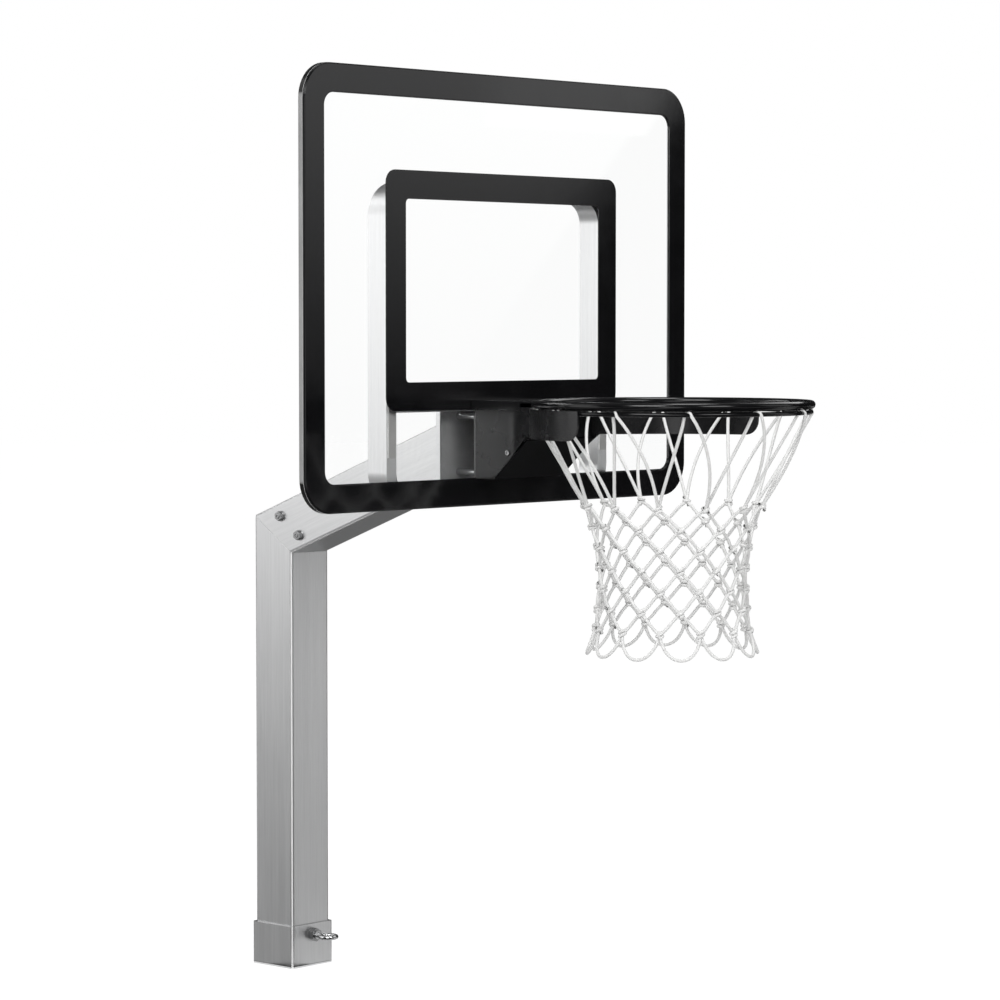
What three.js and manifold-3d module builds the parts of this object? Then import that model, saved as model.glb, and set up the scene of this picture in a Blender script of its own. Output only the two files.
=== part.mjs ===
// Poolside basketball hoop: a square post in a deck sleeve, an arm, a clear
// backboard and a breakaway rim with its net. Millimetres, +Z up, the pool and
// the shooter towards -Y, +X to the shooter's right. The origin is the centre
// of the deck sleeve's underside.
import * as THREE from "three";
import { mergeVertices } from "three/addons/utils/BufferGeometryUtils.js";
import Module from "manifold-3d";

const wasm = await Module();
wasm.setup();

// Fits shared by every piece
const seat = 0.3;
const overrun = 30;
const threadFit = 0.1;
const halfShare = 0.5;

// Post, sleeve and eye bolt
const post = { width: 101.6, wall: 4.8, corner: 6 };
const sleeve = { height: 82, wall: 4, clearance: 0.8, floor: 6, drainRadius: 6, drainOffset: 28 };
const foot = { flange: 4, plug: 24, clearance: 0.5 };
const boss = { flats: 23, length: 12, fromTop: 20.6, counterbore: 8 };
const pad = { radius: 7, thickness: 3, clearance: 0.6 };
const eyeBolt = {
  radius: 6, clearance: 0.3, eyeRadius: 15.6, barRadius: 4.3, neck: 12, collarRadius: 8.5, collar: 3,
};

// Elbow and arm
const arm = { angle: THREE.MathUtils.degToRad(20.9), height: 111 };
const insert = { wall: 5, clearance: 0.5, postLeg: 110, armLeg: 140 };
const elbowBolt = { radius: 5, clearance: 0.5, fromMitre: 50.8, spacing: 50.8, tail: 1.5 };
const elbowHex = { flats: 16, head: 6.4, nut: 6, washerRadius: 10.5, washer: 2 };

// Backboard
const board = { width: 1040, height: 783, corner: 64, lift: 918, reach: 563.3 };
const border = { width: 51, thickness: 5, innerCorner: 23, bevel: 2 };
const panel = { thickness: 9.5 };
const target = { width: 628.8, base: 175.7, below: 179.3, bar: 51, thickness: 2, corner: 24, innerCorner: 8 };
const stud = { radius: 4, clearance: 0.5, inset: 38, tail: 7, flats: 13, nut: 6.5 };

// Frame behind the panel
const tube = { width: 25.4, depth: 46, wall: 2.5, corner: 65, belowTarget: 19.7, base: 2 };
const crossbar = { lowerThanTarget: 3.2 };
const padStrip = { thickness: 1.5, inset: 3, fromEnd: 90 };
const plate = { halfWidth: 110, corner: 3, backing: 3.2, flange: 10 };
const loopBolt = { radius: 5, clearance: 0.5, spacing: 150, flats: 16, head: 6.5, tail: 10 };

// Rim mount
const pattern = { across: 127, up: 101.6 };
const rimBolt = {
  radius: 5, clearance: 0.5, flats: 17, head: 6.5, nut: 10, washerRadius: 10, washer: 2.5, tail: 6,
};
const spacer = { radius: 7, clearance: 0.3 };
const gasket = { thickness: 1.5 };
const mount = { thickness: 6, halfWidth: 84, margin: 10, corner: 8, clearance: 0.8 };
const hinge = {
  forward: 16, height: 66, pinRadius: 5, clearance: 0.25, knuckle: 12, pinHead: 7.5, pinHeadLength: 2.5,
};
const ear = { halfGap: 32, thickness: 6, top: 22 };
const lug = { gap: 1, thickness: 6 };
const yoke = { thickness: 5, gap: 12.5, above: 24, top: 84, sideGap: 0.3 };
const rod = { radius: 4, across: 50, above: 50, slotHalf: 5.5, slotBelow: 6, slotAbove: 14, tail: 6 };
const spring = { radius: 9.5, wire: 1.6, turns: 7, length: 60, steps: 8, sides: 5 };
const rodNut = { flats: 13, length: 7, washerRadius: 12, washer: 2.5 };
const bumper = { radius: 8, across: 20, above: 70 };

// Rim housing
const hood = {
  halfWidth: 92, sheet: 4, base: 50, rear: -6.5, top: 176, front: 124, frontSheet: 4, frontBase: 124,
};
const flare = { start: 86, length: 29, angle: THREE.MathUtils.degToRad(21) };
const slant = { rearDepth: 54, rearHeight: 53.5, frontDepth: 129.4, frontHeight: 124 };
const cornerSweep = { radius: 20 };
const lid = { halfWidth: 93.5, base: 176.3, top: 192.5, sheet: 4, lipEnd: 115, rear: 2 };
const cover = { sheet: 3, flange: 16, flangeSheet: 3, flangeGap: 0.4, endMargin: 12 };
const screw = { radius: 3, head: 5, headLength: 2.5, length: 9, clearance: 0.3, along: 54.5, inside: 11.2 };

// Ring and net
const ring = { reach: 393.5, radius: 242, rodRadius: 7.94, height: 189.7, steps: 60, sides: 10 };
const wire = { radius: 3.2, gap: 2.4, steps: 60, sides: 6, tabRadius: 1.6, tabSides: 4 };
const wing = {
  outsideOffset: 10.5, base: 129.5, top: 181.5, corner: 28, endAngle: THREE.MathUtils.degToRad(1), steps: 18,
};
const net = {
  loops: 12, rows: 7, cord: 2.3, pinched: 0.8, leanShare: 0.05, knot: 5.4,
  firstKnot: 178.7, rowPitch: 36.2, tailLoop: 43,
  waistRadius: 129, kneeRadius: 158, lastRadius: 137, hemRadius: 151,
};
const waistRowShare = 4.3;
const shoulderShare = 0.78;

const materials = {
  brushedSteel: new THREE.MeshStandardMaterial({ color: 0xb4b6b8, roughness: 0.38, metalness: 1 }),
  brightSteel: new THREE.MeshStandardMaterial({ color: 0xcfd1d3, roughness: 0.22, metalness: 1 }),
  blackGloss: new THREE.MeshStandardMaterial({ color: 0x0b0b0c, roughness: 0.12, metalness: 0.1 }),
  blackSatin: new THREE.MeshStandardMaterial({ color: 0x101011, roughness: 0.5, metalness: 0.1 }),
  blackFlat: new THREE.MeshStandardMaterial({ color: 0x0d0d0e, roughness: 0.7, metalness: 0 }),
  paleVinyl: new THREE.MeshStandardMaterial({ color: 0xe4e4e2, roughness: 0.5, metalness: 0 }),
  blackRubber: new THREE.MeshStandardMaterial({ color: 0x161616, roughness: 0.85, metalness: 0 }),
  clearAcrylic: new THREE.MeshStandardMaterial({
    color: 0xf2f8f8, roughness: 0.03, metalness: 0, transparent: true, opacity: 0.25,
  }),
  whiteCord: new THREE.MeshStandardMaterial({ color: 0xf4f4f1, roughness: 0.8, metalness: 0 }),
};

const axisX = new THREE.Vector3(1, 0, 0);
const axisY = new THREE.Vector3(0, 1, 0);
const axisZ = new THREE.Vector3(0, 0, 1);
// The extrusion frame of each axis: the outline's two directions, then the depth
const extrusionFrames = {
  x: new THREE.Matrix4().makeBasis(axisY, axisZ, axisX),
  y: new THREE.Matrix4().makeBasis(axisX, axisZ, axisY.clone().negate()),
  z: new THREE.Matrix4().makeBasis(axisX, axisY, axisZ),
};
const roundSides = 12;
const smallSides = 8;
const turningSides = 16;
const loopSteps = 5;
const boardSteps = 6;
const edgeSteps = 2;
const bendSteps = 6;

function solidOf(geometry) {
  const bare = geometry.clone();
  bare.deleteAttribute("normal");
  bare.deleteAttribute("uv");
  const merged = mergeVertices(bare);
  return new wasm.Manifold(
    new wasm.Mesh({
      numProp: 3,
      vertProperties: new Float32Array(merged.attributes.position.array),
      triVerts: new Uint32Array(merged.index.array),
    }),
  );
}

function geometryOf(solid) {
  const mesh = solid.getMesh();
  const geometry = new THREE.BufferGeometry();
  geometry.setAttribute("position", new THREE.BufferAttribute(mesh.vertProperties, 3));
  geometry.setIndex(new THREE.BufferAttribute(mesh.triVerts, 1));
  geometry.computeVertexNormals();
  return geometry;
}

function piece(name, solid, material) {
  const mesh = new THREE.Mesh(geometryOf(solid), material.clone());
  mesh.name = name;
  return mesh;
}

function union(solids) {
  return solids.reduce((whole, next) => whole.add(next));
}

function without(solid, cutters) {
  return cutters.reduce((rest, cutter) => rest.subtract(cutter), solid);
}

// An outline extruded along an axis between two places on it
function prism(axis, outline, from, to, segments = roundSides / 4) {
  const geometry = new THREE.ExtrudeGeometry(outline, {
    depth: to - from,
    bevelEnabled: false,
    curveSegments: segments,
  });
  geometry.applyMatrix4(extrusionFrames[axis]);
  const start = axis === "y" ? -to : from;
  const along = extrusionFrames[axis];
  const shift = new THREE.Vector3(0, 0, start).applyMatrix4(along);
  geometry.translate(shift.x, shift.y, shift.z);
  return solidOf(geometry);
}

function polygon(points) {
  return new THREE.Shape(points.map(([u, v]) => new THREE.Vector2(u, v)));
}

function regularOutline(radius, sides, centre, turn = 0) {
  const corners = Array.from({ length: sides }, (_, i) => {
    const angle = turn + (i * 2 * Math.PI) / sides;
    return [centre[0] + radius * Math.cos(angle), centre[1] + radius * Math.sin(angle)];
  });
  return polygon(corners);
}

function cylinder(axis, radius, from, to, centre, sides = roundSides) {
  return prism(axis, regularOutline(radius, sides, centre, Math.PI / sides), from, to);
}

function hexagon(axis, flats, from, to, centre) {
  return prism(axis, regularOutline(flats / Math.sqrt(3), 6, centre, Math.PI / 6), from, to);
}

function block(low, high) {
  const size = high.map((value, i) => value - low[i]);
  const geometry = new THREE.BoxGeometry(...size);
  geometry.translate(...high.map((value, i) => (value + low[i]) * halfShare));
  return solidOf(geometry);
}

// Traces a rectangle with round corners onto a Shape or a Path
function roundedRectangle(path, low, high, radius) {
  const [u0, v0] = low;
  const [u1, v1] = high;
  path.absarc(u1 - radius, v1 - radius, radius, 0, Math.PI / 2);
  path.absarc(u0 + radius, v1 - radius, radius, Math.PI / 2, Math.PI);
  path.absarc(u0 + radius, v0 + radius, radius, Math.PI, Math.PI * 1.5);
  path.absarc(u1 - radius, v0 + radius, radius, Math.PI * 1.5, Math.PI * 2);
  path.closePath();
  return path;
}

function roundedShape(low, high, radius) {
  return roundedRectangle(new THREE.Shape(), low, high, radius);
}

function roundedFrame(low, high, radius, width, innerRadius) {
  const shape = roundedShape(low, high, radius);
  const innerLow = low.map((value) => value + width);
  const innerHigh = high.map((value) => value - width);
  shape.holes.push(roundedRectangle(new THREE.Path(), innerLow, innerHigh, innerRadius));
  return shape;
}

// A closed round-sided tube through points, with its own radius at each one
function cordSolid(points, radii, sides) {
  const tangents = points.map((point, i) => {
    const before = points[Math.max(i - 1, 0)];
    const after = points[Math.min(i + 1, points.length - 1)];
    return after.clone().sub(before).normalize();
  });
  const startAxis = Math.abs(tangents[0].z) < Math.SQRT1_2 ? axisZ : axisX;
  let normal = startAxis.clone().cross(tangents[0]).normalize();
  const corners = [];
  points.forEach((point, i) => {
    normal = normal.clone().addScaledVector(tangents[i], -normal.dot(tangents[i])).normalize();
    const other = tangents[i].clone().cross(normal);
    for (let k = 0; k < sides; k += 1) {
      const angle = (k * 2 * Math.PI) / sides;
      const corner = point.clone();
      corner.addScaledVector(normal, radii[i] * Math.cos(angle));
      corner.addScaledVector(other, radii[i] * Math.sin(angle));
      corners.push(corner.x, corner.y, corner.z);
    }
  });
  const faces = [];
  const last = (points.length - 1) * sides;
  for (let i = 0; i < points.length - 1; i += 1) {
    for (let k = 0; k < sides; k += 1) {
      const a = i * sides + k;
      const b = i * sides + ((k + 1) % sides);
      faces.push(a, b, b + sides, a, b + sides, a + sides);
    }
  }
  for (let k = 1; k < sides - 1; k += 1) {
    faces.push(0, k + 1, k, last, last + k, last + k + 1);
  }
  const geometry = new THREE.BufferGeometry();
  geometry.setAttribute("position", new THREE.Float32BufferAttribute(corners, 3));
  geometry.setIndex(faces);
  return solidOf(geometry);
}

// A bolt along Y: its hexagon head at one end, a plain shank to the other
function boltAlongY(centre, radius, flats, head, headAt, tailAt) {
  const towards = Math.sign(headAt - tailAt);
  const headEnd = headAt + towards * head;
  const shank = cylinder("y", radius, Math.min(headAt, tailAt), Math.max(headAt, tailAt), centre);
  const hex = hexagon("y", flats, Math.min(headAt, headEnd), Math.max(headAt, headEnd), centre);
  return shank.add(hex);
}

function nutAlongY(centre, bore, flats, nut, washerRadius, washer, from) {
  const body = hexagon("y", flats, from + washer, from + washer + nut, centre);
  const ringWasher = cylinder("y", washerRadius, from, from + washer, centre);
  const hole = cylinder("y", bore, from - overrun, from + washer + nut + overrun, centre);
  return body.add(ringWasher).subtract(hole);
}

function corners(acrossHalf, upHalf, upCentre) {
  return [
    ["left_lower", -acrossHalf, upCentre - upHalf],
    ["right_lower", acrossHalf, upCentre - upHalf],
    ["left_upper", -acrossHalf, upCentre + upHalf],
    ["right_upper", acrossHalf, upCentre + upHalf],
  ];
}

// Places that several pieces share, worked out from the sizes above.
// The backboard's group has its origin at the border's front face, bottom centre.
const sleeveInner = post.width + 2 * sleeve.clearance;
const sleeveOuter = sleeveInner + 2 * sleeve.wall;
const boltHeight = sleeve.height - boss.fromTop;
const targetTop = board.height - target.below;
const loopTop = targetTop - tube.belowTarget;
const loopReach = (target.width - target.bar + tube.width) / 2;
const crossbarCentre = target.base - crossbar.lowerThanTarget + tube.width / 2;
const postBase = sleeve.floor + foot.flange + seat;
const panelFront = border.thickness;
const panelBack = panelFront + panel.thickness;
const tubeFront = panelBack + padStrip.thickness;
const tubeBack = tubeFront + tube.depth;
const flangeFront = tubeBack + plate.backing;
const flangeBack = flangeFront + plate.flange;
const elbow = new THREE.Vector3(
  0,
  0,
  board.lift + arm.height - (board.reach - flangeBack) * Math.tan(arm.angle),
);
const armDirection = new THREE.Vector3(0, -Math.cos(arm.angle), Math.sin(arm.angle));
const armAcross = armDirection.clone().cross(axisX);
const mitreNormal = armDirection.clone().add(axisZ).normalize();
const boltPlaces = corners(pattern.across / 2, pattern.up / 2, arm.height);
const plateTop = crossbarCentre - tube.width / 2 - seat;
const mountFront = panelFront - gasket.thickness - mount.thickness;
const hingeY = -hinge.forward;
const yokeBack = mountFront - yoke.gap + yoke.thickness;
const yokeFront = yokeBack - yoke.thickness;
const rodHeight = hinge.height + rod.above;
const springEnd = yokeFront - spring.length;
const wingOuter = ring.radius + wing.outsideOffset;
const wingInner = wingOuter - hood.sheet;
const wireDrop = ring.rodRadius + wire.gap + wire.radius;

// A turned frame: outline across the tube, depth along its direction
function turnedFrame(across, up, along, origin) {
  const frame = new THREE.Matrix4().makeBasis(across, up, along);
  frame.setPosition(origin);
  return frame;
}

function prismInFrame(outline, from, to, frame) {
  const geometry = new THREE.ExtrudeGeometry(outline, {
    depth: to - from,
    bevelEnabled: false,
    curveSegments: edgeSteps,
  });
  geometry.translate(0, 0, from);
  geometry.applyMatrix4(frame);
  return solidOf(geometry);
}

function squareOutline(width, radius) {
  const side = width / 2;
  return roundedShape([-side, -side], [side, side], radius);
}

function squareTube(width, wall, radius, from, to, frame) {
  const outside = prismInFrame(squareOutline(width, radius), from, to, frame);
  const insideOutline = squareOutline(width - 2 * wall, Math.max(radius - wall, wall / 4));
  const inside = prismInFrame(insideOutline, from - overrun, to + overrun, frame);
  return outside.subtract(inside);
}

const upright = turnedFrame(axisX, axisY, axisZ, new THREE.Vector3());
const postFrame = turnedFrame(axisX, axisY, axisZ, elbow);
const armFrame = turnedFrame(axisX, armAcross, armDirection, elbow);
const mitreFrame = turnedFrame(axisX, mitreNormal.clone().cross(axisX), mitreNormal, elbow);

// Everything on one side of the mitre plane, starting a small way from it
function mitreSide(side, start) {
  const reach = board.reach + board.lift;
  const slab = squareOutline(2 * reach, post.corner);
  const from = side > 0 ? start : -reach;
  const to = side > 0 ? reach : -start;
  return prismInFrame(slab, from, to, mitreFrame);
}

function deckSleeve() {
  const shell = squareTube(sleeveOuter, sleeve.wall, post.corner, 0, sleeve.height, upright);
  const base = prism("z", squareOutline(sleeveOuter, post.corner), 0, sleeve.floor);
  const padHole = cylinder("y", pad.radius + pad.clearance, -sleeveOuter, 0, [0, boltHeight]);
  const drain = cylinder("z", sleeve.drainRadius, -overrun, sleeve.floor + overrun, [
    sleeve.drainOffset,
    sleeve.drainOffset,
  ]);
  return without(shell.add(base), [padHole, drain]);
}

function clampBoss() {
  const back = -sleeveOuter / 2;
  const body = hexagon("y", boss.flats, back - boss.length, back, [0, boltHeight]);
  const counterbore = cylinder("y", pad.radius + pad.clearance, back - boss.counterbore, back + overrun, [
    0,
    boltHeight,
  ]);
  const thread = cylinder("y", eyeBolt.radius + eyeBolt.clearance, back - boss.length - overrun, back, [
    0,
    boltHeight,
  ]);
  return without(body, [counterbore, thread]);
}

function clampPad() {
  const back = -post.width / 2 - seat;
  return cylinder("y", pad.radius, back - pad.thickness, back, [0, boltHeight]);
}

function eyeBoltSolid() {
  const tip = -post.width / 2 - 2 * seat - pad.thickness;
  const bossFront = -sleeveOuter / 2 - boss.length;
  const collarFront = bossFront - seat - eyeBolt.collar;
  const eyeCentre = collarFront - eyeBolt.neck - eyeBolt.eyeRadius;
  const shank = cylinder("y", eyeBolt.radius, eyeCentre + eyeBolt.eyeRadius, tip, [0, boltHeight]);
  const collarBack = collarFront + eyeBolt.collar;
  const collar = cylinder("y", eyeBolt.collarRadius, collarFront, collarBack, [0, boltHeight]);
  const eye = new THREE.TorusGeometry(eyeBolt.eyeRadius, eyeBolt.barRadius, 8, 20);
  eye.translate(0, eyeCentre, boltHeight);
  return union([shank, collar, solidOf(eye)]);
}

function postFoot() {
  const inner = post.width - 2 * post.wall - 2 * foot.clearance;
  const flange = prism("z", squareOutline(post.width, post.corner), sleeve.floor, sleeve.floor + foot.flange);
  const plug = prism("z", squareOutline(inner, post.corner / 2), sleeve.floor, postBase + foot.plug);
  return flange.add(plug);
}

function postTube() {
  const full = squareTube(post.width, post.wall, post.corner, postBase, elbow.z + post.width, upright);
  return full.intersect(mitreSide(-1, seat / 2));
}

// The two bolts through the elbow: places along and across the arm
const elbowBoltPlaces = [
  ["upper", elbowBolt.spacing / 2],
  ["lower", -elbowBolt.spacing / 2],
].map(([name, across]) => {
  const mitreShift = -across * Math.tan((Math.PI / 2 - arm.angle) / 2);
  const centre = elbow.clone();
  centre.addScaledVector(armDirection, mitreShift + elbowBolt.fromMitre);
  centre.addScaledVector(armAcross, across);
  return [name, [centre.y, centre.z]];
});

function elbowHoles() {
  const radius = elbowBolt.radius + elbowBolt.clearance;
  return elbowBoltPlaces.map(([, centre]) => cylinder("x", radius, -post.width, post.width, centre));
}

function elbowInsert() {
  const width = post.width - 2 * post.wall - 2 * insert.clearance;
  const radius = post.corner / 2;
  const legs = [
    [postFrame, -insert.postLeg, post.width, -1],
    [armFrame, -post.width, insert.armLeg, 1],
  ];
  const solidLeg = ([frame, from, to, side], outline, stretch) => {
    const start = side > 0 ? from : from - stretch;
    const end = side > 0 ? to + stretch : to;
    return prismInFrame(outline, start, end, frame).intersect(mitreSide(side, -seat / 10));
  };
  const outside = union(legs.map((leg) => solidLeg(leg, squareOutline(width, radius), 0)));
  const bore = squareOutline(width - 2 * insert.wall, radius);
  const inside = union(legs.map((leg) => solidLeg(leg, bore, overrun)));
  return without(outside, [inside, ...elbowHoles()]);
}

function armTube() {
  const full = squareTube(post.width, post.wall, post.corner, -post.width, board.reach, armFrame);
  const flangeFace = -board.reach + flangeBack + seat;
  const beyond = block([-board.reach, -2 * board.reach, 0], [board.reach, flangeFace, 2 * board.lift]);
  return without(full.intersect(mitreSide(1, seat / 2)), [beyond, ...elbowHoles()]);
}

function elbowBoltSolid(centre) {
  const washerFace = post.width / 2 + seat + elbowHex.washer;
  const tail = -washerFace - elbowHex.nut - elbowBolt.tail;
  const shank = cylinder("x", elbowBolt.radius, tail, washerFace, centre);
  const head = hexagon("x", elbowHex.flats, washerFace, washerFace + elbowHex.head, centre);
  const washer = cylinder("x", elbowHex.washerRadius, post.width / 2 + seat, washerFace, centre);
  return union([shank, head, washer]);
}

function elbowNut(centre) {
  const face = -post.width / 2 - seat;
  const washer = cylinder("x", elbowHex.washerRadius, face - elbowHex.washer, face, centre);
  const nutFace = face - elbowHex.washer;
  const nut = hexagon("x", elbowHex.flats, nutFace - elbowHex.nut, nutFace, centre);
  const hole = cylinder("x", elbowBolt.radius + threadFit, -post.width, 0, centre);
  return nut.add(washer).subtract(hole);
}

function rimBoltHoles(radius) {
  return boltPlaces.map(([, x, z]) => cylinder("y", radius, -board.reach, board.reach, [x, z]));
}

const loopBoltCentres = [-1, 1].map((side) => [(side * loopBolt.spacing) / 2, tube.base + tube.width / 2]);

function loopBoltHoles(radius, from, to) {
  return loopBoltCentres.map((centre) => cylinder("y", radius, from, to, centre));
}

function plateOutline() {
  return roundedShape([-plate.halfWidth, tube.base], [plate.halfWidth, plateTop], plate.corner);
}

function plateSolid(front, back) {
  const full = prism("y", plateOutline(), front, back);
  return without(full, [
    ...rimBoltHoles(rimBolt.radius + rimBolt.clearance),
    ...loopBoltHoles(loopBolt.radius + loopBolt.clearance, front - overrun, back + overrun),
  ]);
}

const studInset = loopReach - tube.width / 2;
const studPlaces = [
  ["left_lower", -studInset, target.base + target.bar / 2 + stud.inset],
  ["right_lower", studInset, target.base + target.bar / 2 + stud.inset],
  ["left_upper", -studInset, targetTop - target.bar - stud.inset],
  ["right_upper", studInset, targetTop - target.bar - stud.inset],
];

function studHoles(from, to) {
  const radius = stud.radius + stud.clearance;
  return studPlaces.map(([, x, z]) => cylinder("y", radius, from, to, [x, z], smallSides));
}

function supportLoop() {
  const low = [-loopReach, tube.base];
  const high = [loopReach, loopTop];
  const outside = roundedFrame(low, high, tube.corner, tube.width, tube.corner - tube.width);
  const full = prism("y", outside, tubeFront, tubeBack, loopSteps);
  const boreLow = low.map((value) => value + tube.wall);
  const boreHigh = high.map((value) => value - tube.wall);
  const boreWidth = tube.width - 2 * tube.wall;
  const boreRadius = tube.corner - tube.wall;
  const bore = roundedFrame(boreLow, boreHigh, boreRadius, boreWidth, boreRadius - boreWidth);
  const hollow = prism("y", bore, tubeFront + tube.wall, tubeBack - tube.wall, loopSteps);
  const holeStart = tubeBack - 2 * tube.wall;
  const bolts = loopBoltHoles(loopBolt.radius + loopBolt.clearance, holeStart, tubeBack + overrun);
  return without(full, [hollow, ...bolts, ...studHoles(tubeFront - overrun, tubeFront + 2 * tube.wall)]);
}

function supportCrossbar() {
  const reach = loopReach - tube.width - seat;
  const halfHeight = tube.width / 2;
  const low = [tubeFront, crossbarCentre - halfHeight];
  const high = [tubeBack, crossbarCentre + halfHeight];
  const outline = roundedFrame(low, high, tube.wall, tube.wall, tube.wall / 4);
  return prism("x", outline, -reach, reach);
}

function loopBoltSolid(centre) {
  return boltAlongY(
    centre, loopBolt.radius, loopBolt.flats, loopBolt.head, flangeBack + seat, tubeBack - loopBolt.tail,
  );
}

function padStripSolid(side) {
  const outer = loopReach - padStrip.inset;
  const inner = loopReach - tube.width + padStrip.inset;
  const low = [Math.min(side * inner, side * outer), tube.base + padStrip.fromEnd];
  const high = [Math.max(side * inner, side * outer), loopTop - padStrip.fromEnd];
  const strip = prism("y", polygon([low, [high[0], low[1]], high, [low[0], high[1]]]), panelBack, tubeFront);
  return without(strip, studHoles(panelBack - overrun, tubeFront + overrun));
}

function panelSolid() {
  const outline = roundedShape([-board.width / 2, 0], [board.width / 2, board.height], board.corner);
  const full = prism("y", outline, panelFront, panelBack, boardSteps);
  return without(full, [
    ...rimBoltHoles(rimBolt.radius + rimBolt.clearance),
    ...studHoles(panelFront - overrun, panelBack + overrun),
  ]);
}

// The border's bars, each with a small slope along the front edges
function borderSolid() {
  const low = [-board.width / 2, 0];
  const high = [board.width / 2, board.height];
  const flat = roundedFrame(low, high, board.corner, border.width, border.innerCorner);
  const back = prism("y", flat, border.bevel, border.thickness, boardSteps);
  const insetLow = low.map((value) => value + border.bevel);
  const insetHigh = high.map((value) => value - border.bevel);
  const face = roundedFrame(
    insetLow, insetHigh, board.corner - border.bevel, border.width - 2 * border.bevel,
    border.innerCorner + border.bevel,
  );
  const front = prism("y", face, 0, border.bevel + seat, boardSteps);
  return back.add(front);
}

function targetSolid() {
  const low = [-target.width / 2, target.base];
  const high = [target.width / 2, targetTop];
  const outline = roundedFrame(low, high, target.corner, target.bar, target.innerCorner);
  const face = prism("y", outline, panelFront - target.thickness, panelFront);
  const studs = studPlaces.map(([, x, z]) => {
    const end = tubeFront + tube.wall + seat + stud.nut + stud.tail;
    return cylinder("y", stud.radius, panelFront - target.thickness / 2, end, [x, z], smallSides);
  });
  return union([face, ...studs]);
}

function studNut(x, z) {
  const from = tubeFront + tube.wall + seat;
  const hole = cylinder("y", stud.radius + threadFit, from - overrun, from + overrun, [x, z], smallSides);
  return hexagon("y", stud.flats, from, from + stud.nut, [x, z]).subtract(hole);
}

function mountOutline() {
  const reach = mount.halfWidth;
  const bottom = border.width + mount.clearance;
  const top = arm.height + pattern.up / 2 + mount.margin;
  return roundedShape([-reach, bottom], [reach, top], mount.corner);
}

function gasketSolid() {
  const sheet = prism("y", mountOutline(), panelFront - gasket.thickness, panelFront);
  return without(sheet, rimBoltHoles(rimBolt.radius + rimBolt.clearance));
}

function sidedRanges(inner, outer) {
  return [[-outer, -inner], [inner, outer]];
}

function pinBore(reach) {
  const radius = hinge.pinRadius + hinge.clearance;
  return cylinder("x", radius, -reach, reach, [hingeY, hinge.height], turningSides);
}

// The fixed half of the rim mount: plate, hinge ears and the spring rods
function mountSolid() {
  const back = panelFront - gasket.thickness;
  const holes = rimBoltHoles(rimBolt.radius + rimBolt.clearance);
  const base = without(prism("y", mountOutline(), mountFront, back), holes);
  const earTop = hinge.height + ear.top;
  const bossOutline = new THREE.Shape();
  bossOutline.moveTo(mountFront + seat, hinge.height - hinge.knuckle);
  bossOutline.lineTo(mountFront + seat, earTop);
  bossOutline.lineTo(hingeY - hinge.knuckle / 2, earTop);
  bossOutline.absarc(hingeY, hinge.height, hinge.knuckle, Math.PI, Math.PI * 1.5);
  bossOutline.closePath();
  const earRanges = sidedRanges(ear.halfGap, ear.halfGap + ear.thickness);
  const ears = earRanges.map(([from, to]) => prism("x", bossOutline, from, to));
  const pinHole = pinBore(mount.halfWidth);
  const rodEnd = springEnd - rodNut.washer - rodNut.length - rod.tail;
  const rods = [-1, 1].map((side) =>
    cylinder("y", rod.radius, rodEnd, mountFront + mount.thickness / 2, [side * rod.across, rodHeight], 12),
  );
  return without(union([base, ...ears]), [pinHole]).add(union(rods));
}

function hingePin() {
  const reach = ear.halfGap + ear.thickness + lug.gap + lug.thickness + seat;
  const centre = [hingeY, hinge.height];
  const shaft = cylinder("x", hinge.pinRadius, -reach, reach, centre, turningSides);
  const heads = sidedRanges(reach, reach + hinge.pinHeadLength).map(([from, to]) =>
    cylinder("x", hinge.pinHead, from, to, centre),
  );
  return union([shaft, ...heads]);
}

function rimBoltSolid(x, z) {
  const end = flangeBack + seat + rimBolt.washer + rimBolt.nut + rimBolt.tail;
  return boltAlongY([x, z], rimBolt.radius, rimBolt.flats, rimBolt.head, mountFront - seat, end);
}

function rimNut(x, z) {
  return nutAlongY(
    [x, z], rimBolt.radius + threadFit, rimBolt.flats, rimBolt.nut, rimBolt.washerRadius, rimBolt.washer,
    flangeBack + seat,
  );
}

function spacerSolid(x, z) {
  const body = cylinder("y", spacer.radius, panelBack, tubeBack, [x, z]);
  const boreRadius = rimBolt.radius + spacer.clearance;
  const bore = cylinder("y", boreRadius, panelBack - overrun, tubeBack + overrun, [x, z]);
  return body.subtract(bore);
}

// The moving half of the hinge: a cross plate with lugs, slotted for the rods
function yokeSolid() {
  const reach = hood.halfWidth - hood.sheet - yoke.sideGap;
  const bottom = hinge.height + yoke.above;
  const top = hinge.height + yoke.top;
  const cross = block([-reach, yokeFront, bottom], [reach, yokeBack, top]);
  const lugOutline = new THREE.Shape();
  lugOutline.moveTo(yokeBack - seat, bottom + yoke.thickness);
  lugOutline.lineTo(hingeY - hinge.knuckle / 2, bottom + yoke.thickness);
  lugOutline.lineTo(hingeY - hinge.knuckle, hinge.height);
  lugOutline.absarc(hingeY, hinge.height, hinge.knuckle, Math.PI, Math.PI * 2);
  lugOutline.closePath();
  const lugStart = ear.halfGap + ear.thickness + lug.gap;
  const lugRanges = sidedRanges(lugStart, lugStart + lug.thickness);
  const lugs = lugRanges.map(([from, to]) => prism("x", lugOutline, from, to));
  const pinHole = pinBore(reach);
  const slots = [-1, 1].map((side) =>
    block(
      [side * rod.across - rod.slotHalf, yokeFront - overrun, rodHeight - rod.slotBelow],
      [side * rod.across + rod.slotHalf, yokeBack + seat, rodHeight + rod.slotAbove],
    ),
  );
  return without(union([cross, ...lugs]), [pinHole, ...slots]);
}

function bumperSolid(side) {
  const centre = [side * bumper.across, hinge.height + bumper.above];
  return cylinder("y", bumper.radius, yokeBack + seat, mountFront - seat, centre);
}

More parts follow.
